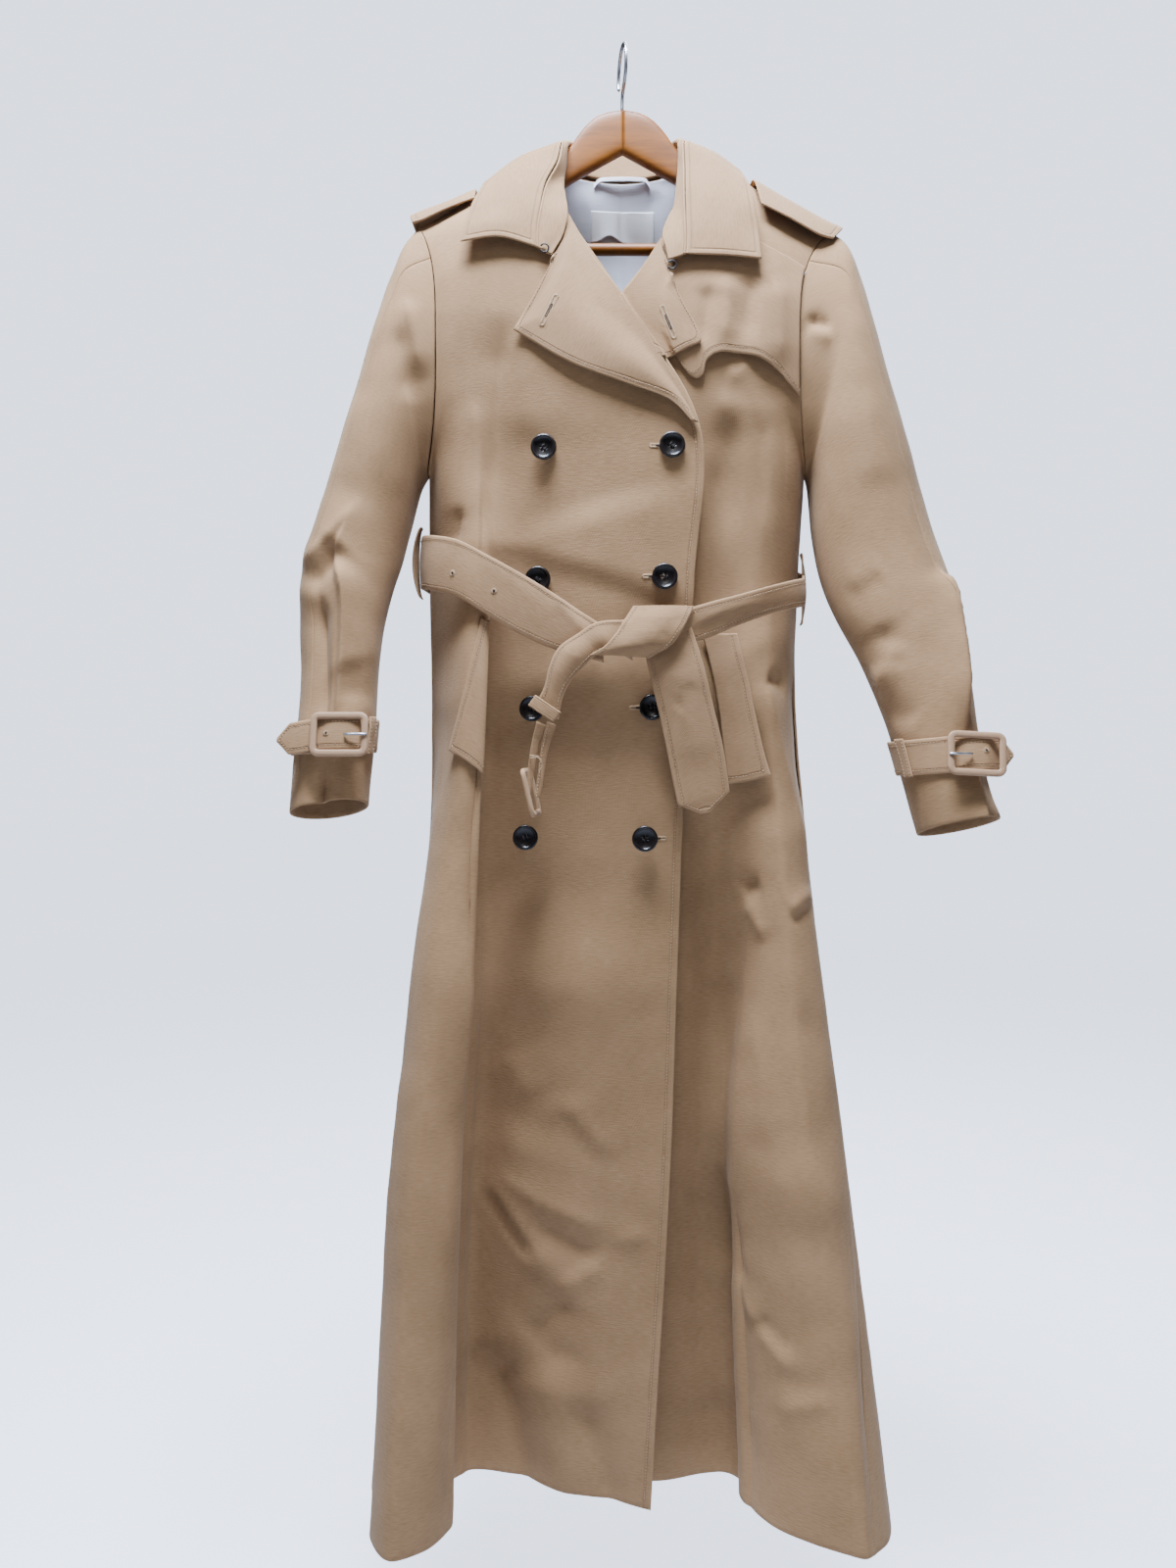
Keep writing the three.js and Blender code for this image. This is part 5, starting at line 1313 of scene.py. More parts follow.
def stretch_of_belt(first, last):
    """The belt between two stations of its table, over the coat and slack enough to clear it."""
    rows = BELT[first : last + 1]
    top = along([row[1] for row in rows], places(0, last - first, 14))
    bottom = along([row[2] for row in rows], places(0, last - first, 14))
    rise = places(0, 1, 14)[:, None, None]
    grid = lerp(bottom[None, ::-1], top[None, ::-1], rise)
    return grid + outward(grid) * BELT_BULGE * np.sin(np.pi * rise)


KNOT_STATION, RIGHT_SIDE, LEFT_SIDE, KNOT_LEFT = 0, 7, 15, 21
for name, first, last in (
    ("belt_right", KNOT_STATION, RIGHT_SIDE),
    ("belt_back", RIGHT_SIDE, LEFT_SIDE),
    ("belt_left", LEFT_SIDE, KNOT_LEFT),
):
    belt = stretch_of_belt(first, last)
    if name != "belt_back":
        belt = laid_over(belt, body, BELT_LIFT, 8)
    creases = () if name == "belt_back" else BELT_CREASES
    pieces[name] = sewn(name, belt, TRIM_WALL, TRIM, creases, ("top", "bottom"), 5, wave=0.5)


def strip(rows, columns, steps=14, corner=None):
    """A strip that hangs or wraps: its table runs down it, its columns from left to right."""
    left, right = (line_through([row[k] for row in rows], corner) for k in (0, 1))
    down = places(len(rows) - 1, 0, steps)
    across = places(0, 1, columns)
    grid = lerp(left(down)[:, None], right(down)[:, None], across[None, :, None])
    bulge = np.interp(down, range(len(rows)), [row[2] for row in rows])[:, None]
    grid[..., 1] -= bulge * np.sin(np.pi * across[None])
    return grid


KNOT_CREASES = [
    [-1, [[2, -590], [-6, -604], [-16, -622]], 5, 1.4, 2],
    [-1, [[54, -584], [44, -602], [30, -618]], 9, -1.6, 4],
]
POINTED_CREASES = [
    [-1, [[50, -640], [60, -690], [70, -740]], 12, 1.6, 5],
    [-1, [[62, -650], [56, -668], [46, -680]], 8, -1.4, 4],
]
KNOT_START = [
    [[4, -79, -593], [8, -79, -632], 0],
    [[-27, -83, -596], [-12, -85, -624], 3],
]
pieces["belt_knot"] = sewn(
    "belt_knot", strip(KNOT, 30, 12), TRIM_WALL, TRIM, KNOT_CREASES, ("left", "right"), 4.5, wave=0.4
)
pieces["belt_pointed_end"] = sewn(
    "belt_pointed_end",
    strip(POINTED_END, 26, 14, 5),
    TRIM_WALL,
    TRIM,
    POINTED_CREASES,
    ("left", "right", "bottom"),
    5.5,
    wave=0.5,
)
pieces["belt_buckle_end"] = sewn(
    "belt_buckle_end",
    strip(KNOT_START + BUCKLE_END, 20, 12),
    TRIM_WALL,
    TRIM,
    (),
    ("left", "right"),
    4,
    wave=0.3,
)
KEEPER = [
    [[-85, -87.5, -665.5], [-60, -87.5, -682.5], 1],
    [[-92, -87.5, -675.5], [-68, -87.5, -691.5], 1],
]
pieces["belt_keeper"] = sewn(
    "belt_keeper", strip(KEEPER, 14, 8), TRIM_WALL, TRIM, (), ("top", "bottom"), 2, wave=0
)
THIN_STRAP = [
    [[-74, -80, -690], [-65, -80, -694], 1],
    [[-80, -78, -716], [-73, -78, -718], 1],
    [[-84, -77, -748], [-78, -77, -750], 1],
    [[-86, -77, -762], [-81, -77, -763], 1],
]
THIN_STRAP_BEHIND = [[[x - 10, y + 1, z] for x, y, z in row[:2]] + [0.5] for row in THIN_STRAP]
pieces["belt_thin_strap"] = sewn(
    "belt_thin_strap", strip(THIN_STRAP, 8, 14), STRAP_WALL, TRIM, (), ("left",), 2, wave=0
)
pieces["belt_thin_strap_behind"] = shell(
    "cloth_thin_strap_behind", strip(THIN_STRAP_BEHIND, 8, 14), STRAP_WALL, TRIM
)
TIE = (-86, -78, -724)  # where a few turns of thread hold the thin strap together
TIE_REACH = (4.2, 3.4, 1.2)
turns = np.linspace(0, 12, 40)
tie = np.array(TIE) + np.stack([np.cos(turns), np.sin(turns), np.sin(turns / 2)], -1) * TIE_REACH
tail = smooth_path([[-84, -82, -724], [-80, -83, -727], [-79, -82, -733], [-82, -82, -738]], 6)
tie_thread = make_mesh("tie_thread", *joined([tube(tie, 0.5, 6), tube(tail, 0.4, 6)]), THREAD)
extras.append((tie_thread, [], "gabardine"))

# ---------- belt loops ----------
LOOP_HALF = 4.8  # half the width of the belt's loop of cloth
# Side, which way is outwards, x and y of its ends, their heights, and how far it bows out.
for side, outwards, x, y, low, high, bow in (
    ("right", -1, -204.5, 0, -562, -488, 7),
    ("left", 1, 183.5, 4, -588, -514, 3.5),
):
    height = places(0, 1, 40)[:, None]
    width = places(-1, 1, 5)[None, :] * outwards
    bowed = x + outwards * bow * np.sin(np.pi * height) ** 0.5 + 2.6 * width * np.sin(np.pi * height)
    loop = np.stack([bowed, y + LOOP_HALF * width + 0 * height, lerp(low, high, height) + 0 * width], -1)
    name = "belt_loop_" + side
    pieces[name] = sewn(name, loop, BODY_WALL, TRIM, (), ("left", "right"), 2, wave=0)

# ---------- cuffs ----------
STRAP_LIFT = 3.2
STRAP_TIP_HALF = 15
KEEPER_LIFT = 2.6  # over the strap
KEEPER_SPAN = 14  # degrees of the sleeve that it takes up
FOREARM_LEAN = 11  # degrees that the forearm leans towards the front
CUFF_FRAME = ((54, 42), (41, 29), 4.2)  # outer and inner size of the frame, and its thickness
PRONG = ((26, -2.2), (22, -3.6), (15, -3.4), (8, -3.0), (5, -1.6))  # from the frame's middle: aside, forward
PRONG_RADIUS = 1.1
# The strap's places up the sleeve, the free tip's middle line, the buckle's centre and turn, the keeper.
CUFFS = {
    "right": (
        sleeve_right_face,
        (1.48, 2.2),
        [[-246, -109, -703], [-280, -110, -703], [-306, -108, -707], [-326, -102, -709]],
        [-265, -114, -704],
        0,
        150,
    ),
    "left": (
        sleeve_left_face,
        (1.22, 1.97),
        [[300, -111, -725], [322, -113, -722], [344, -110, -722], [362, -104, -723]],
        [323, -118, -722],
        3,
        148,
    ),
}


def around_sleeve(face, tree, degrees, up, lift):
    """Points on the sleeve moved away from its own middle line, clear of its creases."""
    degrees, up = np.broadcast_arrays(degrees, up)
    middle = (face(np.zeros_like(degrees), up) + face(np.full_like(degrees, 180), up)) / 2
    out_from = (face(degrees, up) - middle) * [1, 1, 0]
    aside = unit(out_from)
    reach = np.linalg.norm(out_from, axis=-1)
    for spot in np.ndindex(degrees.shape):
        far = middle[spot] + aside[spot] * 150
        hit = tree.ray_cast(Vector(far), Vector(-aside[spot]))[0]
        if hit is not None:
            reach[spot] = max(reach[spot], np.linalg.norm((np.array(hit) - middle[spot])[:2]))
    flat = face(degrees, up)
    return np.concatenate([(middle + aside * (reach + lift)[..., None])[..., :2], flat[..., 2:]], -1)


for side, (face, (low, high), tip, buckle, tilt, keeper) in CUFFS.items():
    sleeve = tree_of(grids[f"sleeve_{side}_upper"], grids[f"sleeve_{side}_under"])
    turn = np.arange(0, 360, 4.0)
    turn = turn if side == "right" else 360 - turn
    band = around_sleeve(face, sleeve, turn[None, :], places(low, high, 12)[:, None], STRAP_LIFT)
    name = "cuff_strap_" + side
    pieces[name] = sewn(name, band, STRAP_WALL, TRIM, (), ("top", "bottom"), 4.5, closed=True, wave=0.3)

    place = places(3, 0, 16) if side == "right" else places(0, 3, 16)
    edge = places(-1, 1, 9)[:, None]
    half = edge * STRAP_TIP_HALF * np.interp(place, [2.35, 3], [1, 0.1])[None, :]
    middle = along(tip, place)[None, :]
    lean = math.tan(math.radians(FOREARM_LEAN))
    rise_in_frame = np.maximum(middle[..., 1] - buckle[1] - 1.0, 0)
    in_frame = np.exp(-((np.abs(middle[..., 0] - buckle[0]) / 17) ** 4)) * rise_in_frame
    strap = middle + np.stack([0 * half, half * lean - 0.6 * (1 - edge**2) - in_frame, half], -1)
    name = "cuff_tip_" + side
    free = "left" if side == "right" else "right"
    pieces[name] = sewn(name, strap, STRAP_WALL, TRIM, (), ("top", "bottom", free), 4.5, wave=0.3)

    turn = np.linspace(keeper, keeper + KEEPER_SPAN, 9)
    turn = turn if side == "right" else turn[::-1]
    up = places(low - 0.04, high + 0.04, 14)
    loop = around_sleeve(face, sleeve, turn[None, :], up[:, None], STRAP_LIFT + KEEPER_LIFT)
    name = "cuff_keeper_" + side
    pieces[name] = sewn(name, loop, 2.0, TRIM, (), ("left", "right"), 2.2, wave=0)


FRAME_CORNER = 5.0
FRAME_ROUND = 0.7  # below 1 the bar is squarer than a round one
FRAME_AROUND = 16


def swollen(cosine, power):
    """A cosine or sine for an outline between a circle and a square."""
    return math.copysign(abs(cosine) ** power, cosine)


def framed(outer, inner, thickness, steps=7):
    """A buckle's frame in the XZ plane: a rounded bar led round a rectangle with soft corners."""
    width, height = (outer[0] + inner[0]) / 2, (outer[1] + inner[1]) / 2
    bar = (outer[0] - inner[0]) / 2
    corner = FRAME_CORNER
    path = []
    for k, (x, z) in enumerate(((1, -1), (1, 1), (-1, 1), (-1, -1))):
        for turn in np.linspace(k * 90 - 90, k * 90, steps):
            a = math.radians(turn)
            path.append([x * (width / 2 - corner), z * (height / 2 - corner), math.cos(a), math.sin(a)])
    ring = []
    for k, (x, z, c, s) in enumerate(path):
        ring.append([x + corner * c, z + corner * s, c, s])
        ahead = path[(k + 1) % len(path)]
        if (k + 1) % steps == 0:
            for t in (0.15, 0.3, 0.45, 0.6, 0.75, 0.9):
                ring.append([lerp(x, ahead[0], t) + corner * c, lerp(z, ahead[1], t) + corner * s, c, s])
    points = []
    for x, z, c, s in ring:
        for a in np.linspace(0, 2 * np.pi, FRAME_AROUND, endpoint=False):
            away = bar / 2 * swollen(math.cos(a), FRAME_ROUND)
            deep = thickness / 2 * swollen(math.sin(a), FRAME_ROUND)
            points.append([x + away * c, deep, z + away * s])
    k = np.arange(len(points)).reshape(-1, FRAME_AROUND)
    k = np.concatenate([k, k[:, :1]], 1)
    k = np.concatenate([k, k[:1]], 0)
    faces = np.stack([k[:-1, :-1], k[1:, :-1], k[1:, 1:], k[:-1, 1:]], -1).reshape(-1, 4).tolist()
    return np.array(points), faces


def turned(points, matrix, at):
    return points @ np.array(matrix.to_3x3()).T + np.array(at)


for side, (_, _, _, buckle, tilt, _) in CUFFS.items():
    points, faces = framed(*CUFF_FRAME)
    lean = Matrix.Rotation(math.radians(-FOREARM_LEAN), 3, "X") @ Matrix.Rotation(math.radians(tilt), 3, "Y")
    piece = make_mesh("cuff_buckle_frame_" + side, turned(points, lean, buckle), faces, LEATHER)
    extras.append((piece, ["cuff_buckle_" + side], "buckle_cover"))
    x, y, z = buckle
    hinge = 1 if side == "right" else -1
    path = [[x + hinge * aside, y + forward, z] for aside, forward in PRONG]
    piece = make_mesh("prong_wire_" + side, *tube(smooth_path(path, 4), PRONG_RADIUS, 10), WIRE)
    extras.append((piece, ["cuff_prong_" + side], "steel"))

BELT_FRAME = ((44, 48), (32, 36), 4.6)
BELT_FRAME_AT = (-90, -64, -758)
points, faces = framed(*BELT_FRAME)
edge_on = Matrix.Rotation(math.radians(-13), 3, "Y") @ Matrix.Rotation(math.radians(82), 3, "Z")
belt_frame = make_mesh("belt_buckle_frame", turned(points, edge_on, BELT_FRAME_AT), faces, TRIM)
extras.append((belt_frame, ["belt_buckle"], "gabardine"))

# ---------- buttons ----------
BUTTON_FACE = [
    [0.0, 1.5], [1.0, 1.5], [1.6, 1.5], [2.2, 1.5], [2.8, 1.5], [3.4, 1.5], [4.0, 1.5], [4.6, 1.55],
    [5.4, 1.65], [6.6, 1.9], [7.8, 2.25], [8.6, 2.5], [9.0, 2.65], [9.3, 3.2], [9.7, 3.75], [10.3, 4.0],
    [11.2, 4.0], [11.9, 3.8], [12.35, 3.3], [12.5, 2.6], [12.5, 1.7], [12.2, 0.9], [11.4, 0.3], [9.5, 0.0],
    [0.0, 0.0],
]
HOLE_REACH = 2.6  # from the middle of a button to each of its four holes
FACE_STARTS = 1.2  # what is further forward belongs to the button's face
PIT = (1.25, 0.5, 1.3)  # radius, width of the slope and depth of each hole
THREAD_OFF = 0.35  # two threads lie side by side in each pair of holes
hole = HOLE_REACH / math.sqrt(2)
buttons, threads = [], []
for i in (1, 2, 3, 4):
    for column in ("outer", "inner"):
        low, high = (np.array(corner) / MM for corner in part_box(f"button_{i}_{column}"))
        at = np.array([(low[0] + high[0]) / 2, high[1], (low[2] + high[2]) / 2])
        points, faces = turned_profile(BUTTON_FACE[1:-1], 56)
        for x, z in ((hole, hole), (-hole, hole), (hole, -hole), (-hole, -hole)):
            near = np.hypot(points[:, 0] - x, points[:, 1] - z)
            sunk = PIT[2] * np.clip((PIT[0] - near) / PIT[1], 0, 1)
            points[:, 2] -= np.where(points[:, 2] > FACE_STARTS, sunk, 0)
        spun = i * 0.5 + (0.3 if column == "inner" else 0)
        c, s = math.cos(spun), math.sin(spun)
        flat = np.stack(
            [points[:, 0] * c - points[:, 1] * s, -points[:, 2], points[:, 0] * s + points[:, 1] * c], -1
        )
        buttons.append((flat + at, faces))
        for sign in (1, -1):
            ends = [
                [-hole * 1.1, -0.6, sign * hole],
                [-hole * 0.6, -2.0, sign * hole],
                [0, -2.3, sign * hole * 0.9],
                [hole * 0.6, -2.0, sign * hole],
                [hole * 1.1, -0.6, sign * hole],
            ]
            line = [[x * c - z * s + at[0], y + at[1], x * s + z * c + at[2]] for x, y, z in ends]
            for offset in (-THREAD_OFF, THREAD_OFF):
                shifted = [[x, y, z + offset] for x, y, z in line]
                threads.append(tube(smooth_path(shifted, 3), 0.38, 6))
button_nodes = [f"button_{i}_{column}" for i in (1, 2, 3, 4) for column in ("outer", "inner")]
extras.append((make_mesh("horn_buttons", *joined(buttons), HORN), button_nodes, "buttons"))

# ---------- hanger ----------
HANGER_TOP = [
    [0, -64], [12, -65.5], [24, -69], [33, -75.5], [40, -83], [47, -92], [52, -101], [57, -107], [62, -111],
    [80, -121], [110, -139], [140, -158], [172, -178], [203, -197], [208, -202],
]
HANGER_UNDER = [
    [0, -107.5], [30, -124], [61, -142], [100, -162], [140, -184], [166, -199], [172, -211], [203, -219],
    [208, -212],
]
HANGER_THICKNESS = 14
HANGER_SIDES = 28
HANGER_LENGTH = (204, 4.2)  # where its end starts to round off, and over how much


def hanger_half(side):
    """Half the hanger as slices from the middle to the shoulder, each a rounded bar of beech."""
    x = np.concatenate([np.linspace(0.0, 160, 46), np.linspace(163, 206, 16), [207.4, 208.0]])
    top = np.interp(x, *np.array(HANGER_TOP).T)
    under = np.interp(x, *np.array(HANGER_UNDER).T)
    for _ in range(2):
        top[1:-1] = (top[:-2] + 2 * top[1:-1] + top[2:]) / 4
    straight, rounding = HANGER_LENGTH
    end = np.where(x > straight, np.sqrt(np.clip(1 - ((x - straight) / rounding) ** 2, 0.02, 1)), 1)
    points = []
    for place, high, low, shrink in zip(x, top, under, end):
        middle, half = (high + low) / 2, (high - low) / 2 * shrink
        for a in np.linspace(0, 2 * np.pi, HANGER_SIDES, endpoint=False):
            deep = HANGER_THICKNESS / 2 * shrink * swollen(math.cos(a), 0.45)
            rise = half * swollen(math.sin(a), 0.55)
            points.append([side * place, deep, middle + rise])
    k = np.arange(len(points)).reshape(len(x), HANGER_SIDES)
    k = np.concatenate([k, k[:, :1]], 1)
    faces = np.stack([k[:-1, :-1], k[:-1, 1:], k[1:, 1:], k[1:, :-1]], -1).reshape(-1, 4)
    middle_cap, end_cap = k[0, :-1].tolist(), k[-1, :-1].tolist()
    if side > 0:
        return np.array(points), faces[:, ::-1].tolist() + [middle_cap[::-1], end_cap]
    return np.array(points), faces.tolist() + [middle_cap, end_cap[::-1]]


hanger = make_mesh("beech_hanger", *joined([hanger_half(1), hanger_half(-1)]), BEECH)
extras.append((hanger, ["hanger_right", "hanger_left"], "wood"))
bar_ends = [[x, 0, -205] for x in (-167.3, -166.6, *np.linspace(-165, 165, 24), 166.6, 167.3)]
bar = tube(bar_ends, [5.4, 5.9, *[6] * 24, 5.9, 5.4], 32)
extras.append((make_mesh("beech_bar", *bar, BEECH), ["hanger_bar"], "wood"))

# The hook: a straight shank, then a round bend over the rail, from the front to the back.
RAIL_RADIUS = 21.5
WIRE_RADIUS = 1.75
yaw = math.radians(8)
bend = [[0, -63.4], [0, -58], [0, -54], [1.6, -47.5]]
reach = RAIL_RADIUS + WIRE_RADIUS
for turn in np.linspace(-68, 205, 40):
    bend.append([reach * math.cos(math.radians(turn)), -RAIL_RADIUS + reach * math.sin(math.radians(turn))])
hook_path = [[forwards * math.sin(yaw), -forwards * math.cos(yaw), z] for forwards, z in bend]
hook_line = smooth_path(hook_path, 3)
thick = np.full(len(hook_line), WIRE_RADIUS)
thick[-4:] = [1.7, 1.55, 1.2, 0.6]
extras.append((make_mesh("wire_hook", *tube(hook_line, thick, 16), WIRE), ["hanger_hook"], "steel"))

# ---------- neck: lining, label, hanger loop, hook and eye ----------
LINING_LIFT = -5.0  # inside the back
across, up = places(4.3, 7.7, 16), places(7.2, 10.8, 14)
inside = np.full((len(up), len(across)), LINING_LIFT)
lining = moved_out(back_face, across[None, :], up[:, None], inside)[:, ::-1]
LINING_CREASES = [
    [-1, [[1, -110], [1, -160], [1, -230], [1, -350]], 1.6, -1.6, 0.6],
    [-1, [[-40, -120], [-30, -160], [-34, -220]], 9, 2, 3],
    [-1, [[40, -126], [28, -150], [30, -210]], 9, -2, 3],
]
pieces["neck_lining"] = sewn("neck_lining", lining, LINING_WALL, SATIN, LINING_CREASES, wave=0.8)
LABEL_ENDS = (-32, 34)
LABEL_BOTTOM, LABEL_TOP = -181, -148
LABEL_LIFTS_AT = -12  # where its unsewn lower edge curls up and forwards
CURL_UP, CURL_FORWARD = 7.5, 3.2
behind = tree_of(grids["neck_lining"])
x = places(*LABEL_ENDS, 0.6)
bottom_edge = LABEL_BOTTOM + CURL_UP * np.exp(-(((x - LABEL_LIFTS_AT) / 10) ** 2))
rise = places(0, 1, 16)[:, None]
height = lerp(bottom_edge[None, :], LABEL_TOP + 0 * x[None, :], rise)
lifted = CURL_FORWARD * np.exp(-(((x[None, :] - LABEL_LIFTS_AT) / 13) ** 2)) * (1 - rise) ** 2
depth = np.array([[front_at(behind, a, b, 40.0) for a, b in zip(x, row)] for row in height])
label = np.stack([np.broadcast_to(x, height.shape), depth - 1.6 - lifted, height], -1)
pieces["label"] = sewn("label", label, 1.0, LABEL, (), ("top", "left", "right"), 1.6, wave=0)
HANGER_LOOP = [
    [-29, 34, -123], [-23.5, 33, -117.4], [-12, 32, -116.4],
    [14, 32, -116.4], [25.5, 33, -117.4], [30, 34, -123],
]
width = places(-1, 1, 3)[:, None, None]
ribbon = np.array(smooth_path(HANGER_LOOP, 10))[None] + width * [0.0, 0.4, 2.6]
pieces["hanger_loop"] = sewn("hanger_loop", ribbon, 1.2, SATIN, wave=0)
EYE_RADIUS = 4
for name, x, y, z in (("eye", -77, -66, -233), ("hook", 46, -66, -249)):
    ring = [
        [x + EYE_RADIUS * math.cos(a), y, z + EYE_RADIUS * math.sin(a)]
        for a in np.radians(np.linspace(-150, 150, 24))
    ]
    piece = make_mesh(f"collar_{name}_wire", *tube(ring, 0.8, 8), BLACK_WIRE)
    extras.append((piece, ["collar_" + name], "black_steel"))

# ---------- stitches ----------
def stitch_tree():
    """Beads of thread along seams: one at each pitch, turned along the seam or across it."""
    tree = bpy.data.node_groups.new("stitches_along_seams", "GeometryNodeTree")
    sizes = {"Pitch": 0.0032, "Length": 0.0024, "Thickness": 0.0008, "Across": 0.0, "Unevenness": 0.1}
    tree.interface.new_socket("Seams", in_out="INPUT", socket_type="NodeSocketGeometry")
    for name, value in sizes.items():
        tree.interface.new_socket(name, in_out="INPUT", socket_type="NodeSocketFloat").default_value = value
    tree.interface.new_socket("Thread", in_out="INPUT", socket_type="NodeSocketMaterial")
    tree.interface.new_socket("Stitches", in_out="OUTPUT", socket_type="NodeSocketGeometry")
    given = add_node(tree, "NodeGroupInput")
    lines = add_node(tree, "GeometryNodeMeshToCurve", {"Mesh": given.outputs["Seams"]})
    spaced = add_node(
        tree,
        "GeometryNodeResampleCurve",
        {"Curve": out(lines), "Length": given.outputs["Pitch"]},
        mode="LENGTH",
    )
    tangent = add_node(tree, "GeometryNodeInputTangent")
    sideways = add_node(
        tree,
        "ShaderNodeVectorMath",
        {"Vector": out(tangent), "Vector_001": (0.0, 1.0, 0.0)},
        operation="CROSS_PRODUCT",
    )
    heading = add_node(
        tree,
        "ShaderNodeMix",
        {"Factor_Float": given.outputs["Across"], "A_Vector": out(tangent), "B_Vector": out(sideways)},
        data_type="VECTOR",
    )
    facing = add_node(
        tree, "FunctionNodeAlignRotationToVector", {"Vector": out(heading, "Result_Vector")}, axis="X"
    )
    uneven = given.outputs["Unevenness"]
    low = add_node(tree, "ShaderNodeMath", {"Value": 1.0, "Value_001": uneven}, operation="SUBTRACT")
    high = add_node(tree, "ShaderNodeMath", {"Value": 1.0, "Value_001": uneven}, operation="ADD")
    uneven = add_node(
        tree,
        "FunctionNodeRandomValue",
        {"Min_001": out(low), "Max_001": out(high), "Seed": 7},
        data_type="FLOAT",
    )
    long = add_node(
        tree,
        "ShaderNodeMath",
        {"Value": given.outputs["Length"], "Value_001": out(uneven, "Value_001")},
        operation="MULTIPLY",
    )
    size = add_node(
        tree,
        "ShaderNodeCombineXYZ",
        {"X": out(long), "Y": given.outputs["Thickness"], "Z": given.outputs["Thickness"]},
    )
    bead = add_node(tree, "GeometryNodeMeshUVSphere", {"Segments": 6, "Rings": 4, "Radius": 0.5})
    beads = add_node(
        tree,
        "GeometryNodeInstanceOnPoints",
        {"Points": out(spaced), "Instance": out(bead), "Rotation": out(facing), "Scale": out(size)},
    )
    real = add_node(tree, "GeometryNodeRealizeInstances", {"Geometry": out(beads)})
    dyed = add_node(
        tree, "GeometryNodeSetMaterial", {"Geometry": out(real), "Material": given.outputs["Thread"]}
    )
    add_node(tree, "NodeGroupOutput", {"Stitches": out(dyed)})
    return tree


STITCHES = stitch_tree()


def stitched(name, lines, thread, **sizes):
    """Makes one plain mesh of the stitches along some lines."""
    points = np.concatenate([np.asarray(line) for line in lines]) * MM
    edges, start = [], 0
    for line in lines:
        edges += [[start + k, start + k + 1] for k in range(len(line) - 1)]
        start += len(line)
    mesh = bpy.data.meshes.new(name + "_lines")
    mesh.from_pydata(points.tolist(), edges, [])
    guide = bpy.data.objects.new(name + "_lines", mesh)
    bpy.context.collection.objects.link(guide)
    modifier = guide.modifiers.new("stitches", "NODES")
    modifier.node_group = STITCHES
    for item in STITCHES.interface.items_tree:
        if item.in_out == "INPUT" and item.name in sizes:
            modifier[item.identifier] = sizes[item.name]
        if item.in_out == "INPUT" and item.name == "Thread":
            modifier[item.identifier] = thread
    graph = bpy.context.evaluated_depsgraph_get()
    made = bpy.data.meshes.new_from_object(guide.evaluated_get(graph), depsgraph=graph)
    made.name = name
    bpy.data.objects.remove(guide)
    piece = bpy.data.objects.new(name, made)
    bpy.context.collection.objects.link(piece)
    made.polygons.foreach_set("use_smooth", [True] * len(made.polygons))
    return piece


# Sheet, its stitched sides, distance in from them, and how much is left out at each end of a line.
BOTH_ENDS = ("left", "right")
BOTH_EDGES = ("bottom", "top")
SEAMS = [
    ("front_right", ["right"], 7, 12, 26),
    ("front_left", ["left"], 7, 12, 30),
    ("lapel_right", ["left"], 5, 0, 0),
    ("lapel_left", ["right"], 5, 0, 0),
    ("collar_fall", ["bottom"], 5, 5, 5),
    ("collar_fall", BOTH_ENDS, 5, 5, 2),
    ("collar_fall", ["top"], 2.2, 2, 2),
    ("collar_stand", ["bottom"], 2.2, 2, 2),
    ("storm_flap", ["bottom"], 6, 4, 0),
    ("epaulette_right", BOTH_ENDS, 5.5, 0, 5),
    ("epaulette_right", ["top"], 5.5, 5, 5),
    ("epaulette_left", BOTH_ENDS, 5.5, 0, 5),
    ("epaulette_left", ["top"], 5.5, 5, 5),
    ("welt_right", ["left", "bottom"], 6, 6, 2),
    ("welt_left", ["right"], 6, 6, 2),
    ("welt_left", ["bottom"], 6, 2, 6),
    ("belt_right", BOTH_EDGES, 5, 0, 0),
    ("belt_back", BOTH_EDGES, 5, 0, 0),
    ("belt_left", BOTH_EDGES, 5, 0, 0),
    ("belt_knot", BOTH_ENDS, 4.5, 2, 2),
    ("belt_pointed_end", BOTH_ENDS, 5.5, 7, 2),
    ("belt_buckle_end", BOTH_ENDS, 4, 2, 2),
    ("belt_thin_strap", ["left"], 2, 1, 1),
    ("cuff_tip_right", BOTH_EDGES[::-1], 4.5, 6, 0),
    ("cuff_tip_left", BOTH_EDGES[::-1], 4.5, 0, 6),
    ("cuff_strap_right", BOTH_EDGES[::-1], 4.5, 0, 0),
    ("cuff_strap_left", BOTH_EDGES[::-1], 4.5, 0, 0),
    ("cuff_keeper_right", BOTH_ENDS, 2.2, 1, 1),
    ("cuff_keeper_left", BOTH_ENDS, 2.2, 1, 1),
]
lines = [
    seam_line(grids[name], side, inset, first, last)
    for name, sides, inset, first, last in SEAMS
    for side in sides
]
extras.append((stitched("topstitching", lines, THREAD), [], "gabardine"))
thread_of_buttons = make_mesh("button_threads", *joined(threads), THREAD_DARK)
extras.append((thread_of_buttons, [], "buttons"))


# ---------- buttonholes and eyelets ----------
def slit(grid, start, end, half):
    """A long loop round a slit on a sheet, from one x and z to the other."""
    tree = tree_of(grid)
    a, b = np.array(start, float), np.array(end, float)
    ahead = (b - a) / np.linalg.norm(b - a)
    side = np.array([-ahead[1], ahead[0]])
    ring = []
    for turn in np.radians(np.linspace(90, 270, 9)):
        ring.append(a + half * (math.cos(turn) * ahead + math.sin(turn) * side))
    for turn in np.radians(np.linspace(-90, 90, 9)):
        ring.append(b + half * (math.cos(turn) * ahead + math.sin(turn) * side))
    ring.append(ring[0])
    return [[x, front_at(tree, x, z, -60.0) - 0.35, z] for x, z in ring]


